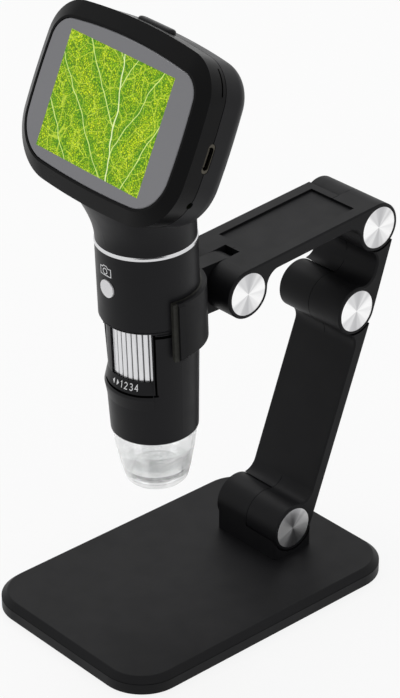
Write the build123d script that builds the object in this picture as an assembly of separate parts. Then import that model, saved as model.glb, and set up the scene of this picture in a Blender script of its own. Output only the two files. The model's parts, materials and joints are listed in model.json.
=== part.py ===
from build123d import *
import os
from math import cos, pi, radians, sin, sqrt

os.makedirs("parts", exist_ok=True)

# LCD digital microscope in the clip of a folding stand. Millimetres, +Z up.
# Origin: centre of the base plate's underside. +X: along the hinge axes, towards the bright "near" discs.
# +Y: along the base plate, towards the arms. The microscope stands over the front (-Y) part of the base.

# ---------------------------------------------------------------- stand: base
BASE_LENGTH = 134.0
BASE_WIDTH = 90.8
BASE_CORNER = 17.0
BASE_TOP = 7.2
BASE_GAP = 0.6
BASE_BEVEL_WIDTH = 2.4
BASE_BEVEL_HEIGHT = 2.15
BASE_GROOVE = 0.25
BASE_EDGE_ROUND = 0.8
BASE_CEILING = 2.4
PAD_THICKNESS = 1.5
PAD_MARGIN = 3.0
PAD_CLEARANCE = 0.2
BALLAST_LENGTH = 116.0
BALLAST_WIDTH = 72.0
BALLAST_CORNER = 9.0

# ---------------------------------------------------------------- stand: hinges
STAND_WIDTH = 33.4
KNUCKLE_RADIUS = 9.7
KNUCKLE_CHAMFER = 0.6
HALF_GAP = 0.2
SCOOP_CLEARANCE = 0.4
PIN_RADIUS = 2.0
PIN_FIT = 0.05
PIN_HEAD_RADIUS = 4.2
PIN_HEAD_HEIGHT = 2.4
NUT_ACROSS_FLATS = 7.0
NUT_HEIGHT = 3.0
WASHER_RADIUS = 6.0
WASHER_THICKNESS = 0.6
DISC_RADIUS = 8.3
DISC_THICKNESS = 1.2
DISC_SINK = 0.2
DISC_CLEARANCE = 0.1
SEAT_CLEARANCE = 0.3

# ---------------------------------------------------------------- stand: links
BASE_HINGE_Y = 38.0
BASE_HINGE_RISE = 11.2
LOWER_ARM_LENGTH = 90.2
LOWER_ARM_LEAN = 20.5
SHORT_LINK_LENGTH = 33.8
SHORT_LINK_LEAN = 18.1
TOP_ARM_LENGTH = 67.3
TOP_ARM_DROP = 4.1
PLATE_THICKNESS = 5.0
BRIDGE_END_GAP = 9.2
LIP_REACH = 4.8
INNER_FILLET = 6.0
RECESS_WIDTH = 23.0
RECESS_DEPTH = 1.0
RECESS_FROM_TILT = 11.5
RECESS_FROM_SHOULDER = 8.0
PEDESTAL_ROUND = 1.5
PEDESTAL_SCREW_RADIUS = 1.45
PEDESTAL_SCREW_HEAD_RADIUS = 2.8
PEDESTAL_SCREW_HEAD_HEIGHT = 1.8
PEDESTAL_SCREW_LENGTH = 8.0
PEDESTAL_SCREW_X = 8.4
PEDESTAL_SCREW_OFFSET_Y = 5.5
SCREW_CLEARANCE = 0.05

# ---------------------------------------------------------------- clip
CLIP_REACH = 33.4
TILT_STATION = 5.15
BARREL_LEAN = 2.4
TONGUE_WIDTH = 7.4
TONGUE_SIDE_GAP = 0.2
TONGUE_SCOOP_CLEARANCE = 0.5
TONGUE_SLOT_DEPTH = 7.2
TONGUE_DEPTH = 20.0
GRIP_FIT = 0.1
LINER_THICKNESS = 0.75
BAND_THICKNESS = 1.65
BAND_TOP_STATION = 7.4
BAND_HEIGHT = 23.4
BAND_HALF_OPENING = 79.0
BAND_CHAMFER = 1.0
LIP_THICKENING = 0.9
LIP_ANGLE = 7.0
LINER_LIP_ANGLE = 5.0
LINER_LIP_RISE = 2.2
MICROSCOPE_TURN = -2.0

# ---------------------------------------------------------------- barrel
# Stations are heights along the barrel's own axis, from a point at the clip's upper half.
UPPER_RADIUS = 18.6
UPPER_RIM = 0.6
UPPER_LENGTH = 29.2
UPPER_WALL = 2.0
SEAM_STATION = -4.2
TRIM_RADIUS = 18.75
TRIM_HEIGHT = 1.6
TRIM_EDGE = 0.35
RING_FIT = 0.05
SPIGOT_LENGTH = 4.5
SPIGOT_WALL = 1.5
LOWER_TOP_RADIUS = 18.2
LOWER_FOOT_RADIUS = 16.4
LOWER_MOUTH_RADIUS = 16.1
LOWER_EDGE = 0.3
LOWER_LENGTH = 48.4
LOWER_SPIGOT = 7.2
WHEEL_RADIUS = 15.3
WHEEL_CLEARANCE = 0.3
WHEEL_HEIGHT = 20.9
WHEEL_DROP = 0.8
WHEEL_WALL = 2.3
FLUTE_COUNT = 44
FLUTE_RADIUS = 0.36
WINDOW_START = -12.0
WINDOW_END = 52.7
RECESS_START = -58.0
RECESS_SKIN = 0.5
WINDOW_DROP = 0.4
SILL_HEIGHT = 6.5
SILL_RISE = 1.6
SILL_LIP = 0.4
SILL_FLANK = 5.6
COLLAR_HEIGHT = 3.0
GUIDE_WALL = 1.6
GUIDE_FLANGE = 3.0
GUIDE_FIT = 0.1
GUIDE_SLOT = 2.4
NOSE_RADIUS = 6.5
NOSE_LENGTH = 4.0
NOSE_BORE = 4.5
LOWER_LEDGE = 1.2
LEDGE_FROM_MOUTH = 6.2
CARRIER_LENGTH = 12.0
CARRIER_WALL = 2.6
CARRIER_FIT = 0.1
CARRIER_PIN_RADIUS = 1.0
CARRIER_TRAVEL = 5.0
CAM_GROOVE = 1.1
LENS_THICKNESS = 5.0
LED_BOARD_THICKNESS = 1.0
LED_BOARD_HOLE = 6.8
LED_COUNT = 8
LED_SIZE = 2.8
LED_HEIGHT = 1.4
LED_CIRCLE = 10.2
SENSOR_BOARD_THICKNESS = 1.0
SENSOR_SIZE = 8.0
SENSOR_HEIGHT = 1.2
SMALL_SCREW_RADIUS = 0.8
SMALL_SCREW_HEAD = 1.5
SMALL_SCREW_HEAD_HEIGHT = 0.9

# ---------------------------------------------------------------- snapshot button
SNAP_STATION = 11.3
SNAP_RADIUS = 3.5
SNAP_PROUD = 0.35
SNAP_EDGE = 0.25
SNAP_FLANGE = 0.9
SNAP_FLANGE_HEIGHT = 1.0
SNAP_TRAVEL = 0.4
BUTTON_CLEARANCE = 0.2
SNAP_BOARD_DEPTH = 9.6
SNAP_BOARD_THICKNESS = 1.0
SNAP_BOARD_HEIGHT = 14.0
TACT_SIZE = 6.0
TACT_HEIGHT = 2.0
TACT_PLUNGER_RADIUS = 1.6
TACT_PLUNGER_HEIGHT = 0.8
PRESS_CLEARANCE = 0.1

# ---------------------------------------------------------------- clear cap
CAP_LENGTH = 22.4
CAP_WALL = 1.0
CAP_SPIGOT = 3.0
CAP_FIT = 0.1
CAP_UPPER_RADIUS = 15.0
CAP_UPPER_DROP = 7.7
CAP_WAIST_RADIUS = 13.3
CAP_WAIST_DROP = 16.2
CAP_TIP_RADIUS = 11.8
CAP_TIP_ROUND = 0.6
CAP_LIP = 1.2
CAP_LIP_HEIGHT = 3.3

# ---------------------------------------------------------------- head
HEAD_TILT = 23.39
HEAD_AHEAD = 14.8
HEAD_STATION = 79.2
RIM_HALF_WIDTH = 44.3
RIM_HALF_HEIGHT = 33.3
RIM_TOP_CORNER = 15.5
RIM_LOW_CORNER = 22.0
RIM_TOP_BOW = 3.4
RIM_LOW_BOW = 3.0
RIM_SIDE_BOW = 1.6
RIM_DEPTH = 2.7
SEAM_DEPTH = 10.3
SEAM_GROOVE = 0.35
SKIRT_INSET = 0.7
CORNER_SLOT_WIDTH = 0.7
CORNER_SLOT_DEPTH = 1.2
CORNER_SLOT_BACK = 8.5
CORNER_SLOT_START = (36.5, 20.5)
REAR_DEPTH = 24.0
BACK_TAPER = 0.9
BACK_ROUND = 7.0
CASE_WALL = 1.8
GLASS_HALF_WIDTH = 39.0
GLASS_HALF_HEIGHT = 26.6
GLASS_TOP_CORNER = 9.0
GLASS_LOW_CORNER = 15.0
GLASS_TOP_BOW = 3.2
GLASS_LOW_BOW = 2.0
GLASS_SIDE_BOW = 1.2
GLASS_EDGE = 0.35
GLASS_THICKNESS = 1.2
GLASS_CLEARANCE = 0.15
GLASS_LEDGE = 0.9
FACE_LAND = 1.0
LCD_WIDTH = 61.2
LCD_HEIGHT = 44.6
LCD_THICKNESS = 2.5
BOARD_TOP_DEPTH = 12.0
BOARD_THICKNESS = 1.2
BOARD_EDGE_GAP = 2.8
BOARD_TOP = 22.0
BOARD_LOW = 20.0
BOARD_CORNER = 8.0
BATTERY_WIDTH = 46.0
BATTERY_HEIGHT = 26.0
BATTERY_THICKNESS = 6.0
BOSS_RADIUS = 2.6
BOSS_X = 26.0
BOSS_Y = 9.0
BOARD_SCREW_BITE = 4.0
NECK_BASE_RADIUS = 18.4
NECK_SWELL = 9.0
NECK_SWELL_HEIGHT = 36.0
NECK_SECTIONS = 6
NECK_STRAIGHT_AZIMUTH = 48.0
NECK_BORE = 16.35
SHOULDER_HEIGHT = 36.0
SHOULDER_SLOPE = 52.0
SHOULDER_ROUND = 5.0
USB_WIDTH = 8.94
USB_THICKNESS = 3.16
USB_DEPTH = 7.3
USB_Y = -0.8
USB_WALL = 0.3
USB_BEZEL = 0.8
USB_COLLAR = 1.5
USB_TONGUE_WIDTH = 6.6
USB_TONGUE_THICKNESS = 0.7
SIDE_OPENING_DEPTH = 6.0
CARD_SLOT_WIDTH = 12.0
CARD_SLOT_HEIGHT = 1.4
CARD_SOCKET_WIDTH = 14.5
CARD_SOCKET_DEPTH = 15.0
CARD_SOCKET_HEIGHT = 1.6
CARD_SOCKET_PROUD = 0.5
CARD_SOCKET_FLOOR = 0.3
RESET_Y = -18.0
RESET_HOLE = 1.3
RESET_SWITCH_SIZE = 4.0
RESET_SWITCH_INSET = 8.0
POWER_X = 0.3
POWER_LENGTH = 18.5
POWER_WIDTH = 4.4
POWER_PROUD = 0.6
POWER_ROUND = 1.2
POWER_STEM = 1.2
POWER_TRAVEL = 0.5
POWER_OPENING_LIFT = 3.0
POWER_SWITCH_PROUD = 1.0
POWER_SWITCH_INSET = 3.0
POWER_SWITCH_HEIGHT = 3.5
POWER_DEPTH = 10.3
RIBBON_WIDTH = 8.0
RIBBON_THICKNESS = 0.3
RIBBON_BEND_RADIUS = 2.5
RIBBON_BEND_DROP = 30.0


# ================================================================ frames
def yz_direction(lean):
    """Unit vector in the YZ plane that leans from +Z towards +Y by an angle in degrees."""
    return Vector(0, sin(radians(lean)), cos(radians(lean)))


def link_frame(start, direction):
    """Frame with local x along a link, local y towards its plate side and local z towards -X."""
    return Plane(origin=start, x_dir=direction, z_dir=(-1, 0, 0))


base_hinge = Vector(0, BASE_HINGE_Y, BASE_TOP + BASE_HINGE_RISE)
elbow = base_hinge + yz_direction(LOWER_ARM_LEAN) * LOWER_ARM_LENGTH
shoulder = elbow + yz_direction(SHORT_LINK_LEAN) * SHORT_LINK_LENGTH
tilt_hinge = shoulder + yz_direction(-90 - TOP_ARM_DROP) * TOP_ARM_LENGTH

barrel_up = yz_direction(-BARREL_LEAN)
barrel_back = yz_direction(90 - BARREL_LEAN)
barrel_point = tilt_hinge - barrel_back * CLIP_REACH + barrel_up * TILT_STATION
BARREL = Plane(origin=barrel_point, x_dir=(1, 0, 0), z_dir=barrel_up)

head_normal = yz_direction(HEAD_TILT - 90)
head_centre = barrel_point + barrel_up * HEAD_STATION - barrel_back * HEAD_AHEAD
HEAD = Plane(origin=head_centre, x_dir=(1, 0, 0), z_dir=head_normal)

half_width = STAND_WIDTH / 2
plate_inner = KNUCKLE_RADIUS - PLATE_THICKNESS
scoop_radius = KNUCKLE_RADIUS + SCOOP_CLEARANCE
seam = SEAM_STATION
upper_top = seam + UPPER_LENGTH
neck_base = upper_top + TRIM_HEIGHT
lower_end = seam - LOWER_LENGTH
liner_inner = UPPER_RADIUS + GRIP_FIT
liner_outer = liner_inner + LINER_THICKNESS
band_outer = liner_outer + BAND_THICKNESS
band_low = BAND_TOP_STATION - BAND_HEIGHT
wheel_top = seam - WHEEL_DROP
wheel_low = wheel_top - WHEEL_HEIGHT
wheel_bore = WHEEL_RADIUS + WHEEL_CLEARANCE
guide_outer = WHEEL_RADIUS - WHEEL_WALL - GUIDE_FIT
guide_inner = guide_outer - GUIDE_WALL
collar_bore = guide_outer + GUIDE_FIT
collar_top = wheel_low - GUIDE_FIT
guide_top = seam + LOWER_SPIGOT - GUIDE_FLANGE
guide_low = lower_end + LEDGE_FROM_MOUTH


# ================================================================ helpers
def turned(points):
    """Solid of revolution about local Z from a closed outline of (radius, height) points."""
    outline = make_face(Polyline(*points, close=True))
    return revolve(Plane.XZ * outline, axis=Axis.Z)


def sector(points, start, end):
    """Part of a turned solid between two azimuths, counted from the front (-Y) towards +X."""
    outline = make_face(Polyline(*points, close=True))
    return revolve(Rot(0, 0, start - 90) * (Plane.XZ * outline), axis=Axis.Z, revolution_arc=end - start)


def ring(outer, inner, low, high):
    """Plain tube about local Z."""
    return turned([(inner, low), (outer, low), (outer, high), (inner, high)])


def disc(radius, low, high):
    """Plain cylinder about local Z."""
    return Pos(0, 0, low) * Cylinder(radius, high - low, align=(Align.CENTER, Align.CENTER, Align.MIN))


def block(x, y, z):
    """Box between three pairs of limits."""
    size = Box(x[1] - x[0], y[1] - y[0], z[1] - z[0])
    return Pos((x[0] + x[1]) / 2, (y[0] + y[1]) / 2, (z[0] + z[1]) / 2) * size


def cross_bar(centre, radius, low, high):
    """Cylinder along X through a hinge centre, between two x values."""
    bar = Cylinder(radius, high - low, rotation=(0, 90, 0))
    return Pos((low + high) / 2, centre.Y, centre.Z) * bar


def in_clip(shape):
    """Turn a piece of the microscope about the barrel's axis, to where it rests in the clip."""
    turn = BARREL.location * Rot(0, 0, MICROSCOPE_TURN) * BARREL.location.inverse()
    if shape.children:
        return Compound(children=[turn * item for item in shape.children])
    return turn * shape


def save(shape, name):
    """Write one node."""
    shape.label = name
    export_step(shape, "parts/" + name + ".step")


# ================================================================ base
def base_plate():
    """Moulded cover: wall, shallow groove, bevel, and a pocket below for ballast and pad."""
    groove_top = BASE_TOP - BASE_BEVEL_HEIGHT
    wall = RectangleRounded(BASE_WIDTH, BASE_LENGTH, BASE_CORNER)
    waist_size = (BASE_WIDTH - 2 * BASE_GROOVE, BASE_LENGTH - 2 * BASE_GROOVE)
    waist = RectangleRounded(*waist_size, BASE_CORNER - BASE_GROOVE)
    bevel_angle = 90 - atan_degrees(BASE_BEVEL_HEIGHT, BASE_BEVEL_WIDTH)
    body = Pos(0, 0, BASE_GAP) * extrude(wall, groove_top - BASE_GROOVE - BASE_GAP)
    body += Pos(0, 0, BASE_GAP) * extrude(waist, groove_top - BASE_GAP)
    bevel = Pos(0, 0, groove_top) * extrude(wall, BASE_BEVEL_HEIGHT, taper=bevel_angle)
    bevel = fillet(bevel.edges().group_by(Axis.Z)[-1], BASE_EDGE_ROUND)
    body += bevel
    pocket = RectangleRounded(BALLAST_WIDTH + 2 * PAD_CLEARANCE, BALLAST_LENGTH + 2 * PAD_CLEARANCE,
                              BALLAST_CORNER + PAD_CLEARANCE)
    body -= extrude(pocket, BASE_TOP - BASE_CEILING)
    body -= extrude(pad_outline(PAD_CLEARANCE), PAD_THICKNESS)
    for place in pedestal_screw_places():
        body -= Pos(place.X, place.Y, 0) * disc(PEDESTAL_SCREW_RADIUS + SCREW_CLEARANCE, 0, BASE_TOP)
    return body


def atan_degrees(rise, run):
    """Angle of a slope in degrees."""
    return Vector(run, rise).get_angle(Vector(1, 0))


def pad_outline(clearance):
    """Outline of the soft pad, grown by a clearance."""
    width = BASE_WIDTH - 2 * PAD_MARGIN + 2 * clearance
    length = BASE_LENGTH - 2 * PAD_MARGIN + 2 * clearance
    return RectangleRounded(width, length, BASE_CORNER - PAD_MARGIN + clearance)


def pedestal_screw_places():
    """Two screws, in the pedestal's full-height far half."""
    return [Vector(-PEDESTAL_SCREW_X, base_hinge.Y + side * PEDESTAL_SCREW_OFFSET_Y) for side in (-1, 1)]


def base_pad():
    """Soft pad under the base, which the whole stand rests on."""
    return extrude(pad_outline(0), PAD_THICKNESS)


def base_ballast():
    """Steel plate between the pad and the cover, open where the pedestal screws sit."""
    height = BASE_TOP - BASE_CEILING - PAD_THICKNESS
    plate = RectangleRounded(BALLAST_WIDTH, BALLAST_LENGTH, BALLAST_CORNER)
    body = Pos(0, 0, PAD_THICKNESS) * extrude(plate, height)
    for place in pedestal_screw_places():
        hole = disc(PEDESTAL_SCREW_HEAD_RADIUS + SEAT_CLEARANCE, 0, BASE_TOP)
        body -= Pos(place.X, place.Y, 0) * hole
    return body


def pedestal():
    """Far half: full-height knuckle block. Near half: saddle under the lower arm's knuckle."""
    y_front = base_hinge.Y - KNUCKLE_RADIUS
    y_back = base_hinge.Y + KNUCKLE_RADIUS
    foot = block((-half_width, half_width), (y_front, y_back), (BASE_TOP, base_hinge.Z))
    upright = foot.edges().filter_by(Axis.Z)
    body = fillet(upright, PEDESTAL_ROUND)
    body += cross_bar(base_hinge, KNUCKLE_RADIUS, -half_width, -HALF_GAP / 2)
    body -= cross_bar(base_hinge, scoop_radius, -HALF_GAP / 2, half_width + 1)
    body -= far_hinge_cuts(base_hinge)
    body -= washer_pocket(base_hinge)
    body -= cross_bar(base_hinge, PIN_RADIUS + PIN_FIT, -half_width, 0)
    for place in pedestal_screw_places():
        depth = PEDESTAL_SCREW_LENGTH - BASE_CEILING
        pilot = disc(PEDESTAL_SCREW_RADIUS + SCREW_CLEARANCE, BASE_TOP, BASE_TOP + depth + SEAT_CLEARANCE)
        body -= Pos(place.X, place.Y, 0) * pilot
    return body


def pedestal_screws():
    """Pan-head screws from below, through the cover into the pedestal."""
    seat = BASE_TOP - BASE_CEILING
    screws = []
    for place in pedestal_screw_places():
        screw = disc(PEDESTAL_SCREW_RADIUS, seat, seat + PEDESTAL_SCREW_LENGTH)
        screw += disc(PEDESTAL_SCREW_HEAD_RADIUS, seat - PEDESTAL_SCREW_HEAD_HEIGHT, seat)
        screws.append(Pos(place.X, place.Y, 0) * screw)
    return Compound(children=screws)


# ================================================================ hinges
disc_floor = half_width - DISC_SINK - DISC_THICKNESS
head_floor = disc_floor - SEAT_CLEARANCE - PIN_HEAD_HEIGHT
nut_floor = disc_floor - SEAT_CLEARANCE - NUT_HEIGHT


def disc_pocket(centre, side):
    """Shallow round recess for a disc cap. Side is +1 near, -1 far."""
    low, high = sorted((side * disc_floor, side * (half_width + 1)))
    return cross_bar(centre, DISC_RADIUS + DISC_CLEARANCE, low, high)


def near_hinge_cuts(centre):
    """Disc recess and screw head pocket at the near side."""
    head_pocket = cross_bar(centre, PIN_HEAD_RADIUS + SEAT_CLEARANCE, head_floor, half_width)
    return disc_pocket(centre, 1) + head_pocket


def far_hinge_cuts(centre):
    """Disc recess and nut pocket at the far side."""
    nut_radius = NUT_ACROSS_FLATS / sqrt(3) + SEAT_CLEARANCE
    return disc_pocket(centre, -1) + cross_bar(centre, nut_radius, -half_width, -nut_floor)


def washer_pocket(centre):
    """Recess in the far half's inner face for the friction washer."""
    depth = WASHER_THICKNESS - HALF_GAP
    return cross_bar(centre, WASHER_RADIUS + PIN_FIT, -HALF_GAP / 2 - depth, 0)


def hinge_pin(centre):
    """Shoulder screw with a round head at the near side and its shank through both halves."""
    shank = cross_bar(centre, PIN_RADIUS, -nut_floor - NUT_HEIGHT, head_floor)
    head = cross_bar(centre, PIN_HEAD_RADIUS, head_floor, head_floor + PIN_HEAD_HEIGHT)
    return shank + head


def hinge_nut(centre):
    """Hexagon lock nut at the far end of the pin."""
    hexagon = RegularPolygon(NUT_ACROSS_FLATS / 2, 6, major_radius=False)
    body = extrude(hexagon - Circle(PIN_RADIUS + PIN_FIT), NUT_HEIGHT)
    return Pos(-nut_floor, centre.Y, centre.Z) * (Rot(0, -90, 0) * body)


def friction_washer(centre):
    """Thin washer that the two hinge halves squeeze."""
    low = HALF_GAP / 2 - WASHER_THICKNESS
    body = cross_bar(centre, WASHER_RADIUS, low, HALF_GAP / 2)
    return body - cross_bar(centre, PIN_RADIUS + PIN_FIT, low - 1, 1)


def disc_cap(centre, side):
    """Bright spun disc in a knuckle's end face."""
    low, high = sorted((side * disc_floor, side * (disc_floor + DISC_THICKNESS)))
    return cross_bar(centre, DISC_RADIUS, low, high)


# ================================================================ links
def half_profile(length):
    """Side outline of one half of a link: plate strip with a knuckle at each end."""
    outline = Pos(length / 2, plate_inner + PLATE_THICKNESS / 2) * Rectangle(length, PLATE_THICKNESS)
    outline += Circle(KNUCKLE_RADIUS)
    outline += Pos(length, 0) * Circle(KNUCKLE_RADIUS)
    hollow = sqrt(KNUCKLE_RADIUS ** 2 - plate_inner ** 2)
    for bend in (hollow, length - hollow):
        corner = outline.vertices().sort_by_distance((bend, plate_inner, 0))[0]
        outline = fillet(corner, INNER_FILLET)
    return outline


def neighbour_room(length, at_end):
    """Room for the neighbour's knuckle at one end of a link half. The plate's lip stays behind it."""
    place = length if at_end else 0
    far = length + 2 * KNUCKLE_RADIUS if at_end else -2 * KNUCKLE_RADIUS
    near = length - LIP_REACH if at_end else LIP_REACH
    low, high = sorted((near, far))
    reach = 2 * KNUCKLE_RADIUS
    room = block((low, high), (-reach, reach), (-STAND_WIDTH, STAND_WIDTH))
    return room + Pos(place, 0, 0) * Cylinder(scoop_radius, 2 * STAND_WIDTH)


def side_chamfer(half, outer_z):
    """Small chamfer round the outer face of a link half, at local z = outer_z."""
    face = half.faces().filter_by(Axis.Z).sort_by(lambda item: abs(item.center().Z - outer_z))[0]
    return chamfer(face.outer_wire().edges(), KNUCKLE_CHAMFER)


def link_body(start, end, near_ends, far_ends):
    """One link: near and far halves with their own knuckles, joined by a plate across the full width."""
    length = (end - start).length
    near = Pos(0, 0, -half_width) * extrude(half_profile(length), half_width - HALF_GAP / 2)
    near = side_chamfer(near, -half_width)
    far = Pos(0, 0, HALF_GAP / 2) * extrude(half_profile(length), half_width - HALF_GAP / 2)
    far = side_chamfer(far, half_width)
    for at_end in (False, True):
        if not near_ends[at_end]:
            near -= neighbour_room(length, at_end)
        if not far_ends[at_end]:
            far -= neighbour_room(length, at_end)
    low = BRIDGE_END_GAP
    high = length - BRIDGE_END_GAP
    bridge = block((low, high), (plate_inner, KNUCKLE_RADIUS), (-HALF_GAP, HALF_GAP))
    body = near + far + bridge
    return link_frame(start, (end - start).normalized()) * body


def lower_arm():
    """Near knuckle at the base hinge, far knuckle at the elbow."""
    body = link_body(base_hinge, elbow, (True, False), (False, True))
    body -= near_hinge_cuts(base_hinge)
    body -= cross_bar(base_hinge, PIN_RADIUS + PIN_FIT, 0, half_width)
    body -= far_hinge_cuts(elbow)
    body -= washer_pocket(elbow)
    body -= cross_bar(elbow, PIN_RADIUS + PIN_FIT, -half_width, 0)
    return body


def short_link():
    """Near knuckle at the elbow, far knuckle at the shoulder."""
    body = link_body(elbow, shoulder, (True, False), (False, True))
    body -= near_hinge_cuts(elbow)
    body -= cross_bar(elbow, PIN_RADIUS + PIN_FIT, 0, half_width)
    body -= far_hinge_cuts(shoulder)
    body -= washer_pocket(shoulder)
    body -= cross_bar(shoulder, PIN_RADIUS + PIN_FIT, -half_width, 0)
    return body


def top_arm():
    """Near knuckle at the shoulder; two ears with a slot between them at the tilt hinge."""
    body = link_body(shoulder, tilt_hinge, (True, True), (False, True))
    slot = TONGUE_WIDTH / 2 + TONGUE_SIDE_GAP
    front = tilt_hinge.Y - KNUCKLE_RADIUS - 1
    body -= block((-slot, slot), (front, tilt_hinge.Y + TONGUE_SLOT_DEPTH),
                  (tilt_hinge.Z - KNUCKLE_RADIUS - 1, tilt_hinge.Z + 2 * KNUCKLE_RADIUS))
    body -= cross_bar(tilt_hinge, KNUCKLE_RADIUS + TONGUE_SCOOP_CLEARANCE, -slot, slot)
    recess_length = TOP_ARM_LENGTH - RECESS_FROM_TILT - RECESS_FROM_SHOULDER
    recess = block((RECESS_FROM_SHOULDER, RECESS_FROM_SHOULDER + recess_length),
                   (KNUCKLE_RADIUS - RECESS_DEPTH, KNUCKLE_RADIUS + 1),
                   (-RECESS_WIDTH / 2, RECESS_WIDTH / 2))
    body -= link_frame(shoulder, (tilt_hinge - shoulder).normalized()) * recess
    body -= near_hinge_cuts(shoulder)
    body -= cross_bar(shoulder, PIN_RADIUS + PIN_FIT, 0, half_width)
    body -= near_hinge_cuts(tilt_hinge)
    body -= far_hinge_cuts(tilt_hinge)
    body -= cross_bar(tilt_hinge, PIN_RADIUS + PIN_FIT, -half_width, half_width)
    return body


# ================================================================ clip
def clip():
    """C-band round the barrel, thicker lips, and the tongue that turns between the top arm's ears."""
    top = BAND_TOP_STATION
    band_outline = [
        (liner_outer, band_low),
        (band_outer - BAND_CHAMFER, band_low),
        (band_outer, band_low + BAND_CHAMFER),
        (band_outer, top - BAND_CHAMFER / 2),
        (band_outer - BAND_CHAMFER / 2, top),
        (liner_outer, top),
    ]
    body = sector(band_outline, BAND_HALF_OPENING, 360 - BAND_HALF_OPENING)
    lip_outer = band_outer + LIP_THICKENING
    lip = [
        (liner_outer, band_low),
        (lip_outer - BAND_CHAMFER, band_low),
        (lip_outer, band_low + BAND_CHAMFER),
        (lip_outer, top - BAND_CHAMFER),
        (lip_outer - BAND_CHAMFER, top),
        (liner_outer, top),
    ]
    body += sector(lip, BAND_HALF_OPENING, BAND_HALF_OPENING + LIP_ANGLE)
    body += sector(lip, 360 - BAND_HALF_OPENING - LIP_ANGLE, 360 - BAND_HALF_OPENING)
    body = BARREL * body
    half = TONGUE_WIDTH / 2
    tongue_top = tilt_hinge.Z + KNUCKLE_RADIUS
    root = barrel_point.Y + liner_outer + BAND_THICKNESS / 2
    tongue = block((-half, half), (root, tilt_hinge.Y), (tongue_top - TONGUE_DEPTH, tongue_top))
    tongue += cross_bar(tilt_hinge, KNUCKLE_RADIUS, -half, half)
    tongue -= BARREL * disc(liner_outer, band_low - 5, BAND_TOP_STATION + 5)
    body += tongue
    return body - cross_bar(tilt_hinge, PIN_RADIUS + PIN_FIT, -half, half)


def clip_liner():
    """Rubber lining inside the band, with an edge bead in front of each lip."""
    outline = [
        (liner_inner, band_low),
        (liner_outer, band_low),
        (liner_outer, BAND_TOP_STATION),
        (liner_inner, BAND_TOP_STATION),
    ]
    start = BAND_HALF_OPENING - LINER_LIP_ANGLE
    body = sector(outline, start, 360 - start)
    bead = [
        (liner_inner, band_low),
        (liner_inner + LINER_LIP_RISE, band_low),
        (liner_inner + LINER_LIP_RISE, BAND_TOP_STATION),
        (liner_inner, BAND_TOP_STATION),
    ]
    body += sector(bead, start, BAND_HALF_OPENING)
    body += sector(bead, 360 - BAND_HALF_OPENING, 360 - start)
    return BARREL * body


# ================================================================ barrel
def upper_housing():
    """Tube from the seam to the trim ring, with a spigot up into the neck and the button hole."""
    bore = UPPER_RADIUS - UPPER_WALL
    body = turned([
        (bore, seam),
        (UPPER_RADIUS - UPPER_RIM, seam),
        (UPPER_RADIUS, seam + UPPER_RIM),
        (UPPER_RADIUS, upper_top),
        (NECK_BORE - RING_FIT, upper_top),
        (NECK_BORE - RING_FIT, neck_base + SPIGOT_LENGTH),
        (NECK_BORE - RING_FIT - SPIGOT_WALL, neck_base + SPIGOT_LENGTH),
        (NECK_BORE - RING_FIT - SPIGOT_WALL, upper_top - UPPER_WALL),
        (bore, upper_top - UPPER_WALL),
    ])
    body -= snap_place() * disc(SNAP_RADIUS + BUTTON_CLEARANCE, 0, 2 * UPPER_RADIUS)
    return BARREL * body


def snap_place():
    """Local frame of the snapshot button: z points forward out of the barrel."""
    return Location(Plane(origin=(0, 0, SNAP_STATION), x_dir=(1, 0, 0), z_dir=(0, -1, 0)))


def trim_ring():
    """Bright ring between the upper housing and the neck."""
    return BARREL * turned([
        (NECK_BORE, upper_top),
        (TRIM_RADIUS - TRIM_EDGE, upper_top),
        (TRIM_RADIUS, upper_top + TRIM_EDGE),
        (TRIM_RADIUS, neck_base - TRIM_EDGE),
        (TRIM_RADIUS - TRIM_EDGE, neck_base),
        (NECK_BORE, neck_base),
    ])


def lower_radius(station):
    """Outer radius of the lower housing's plain cone."""
    share = (seam - station) / LOWER_LENGTH
    return LOWER_TOP_RADIUS + share * (LOWER_FOOT_RADIUS - LOWER_TOP_RADIUS)


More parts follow.
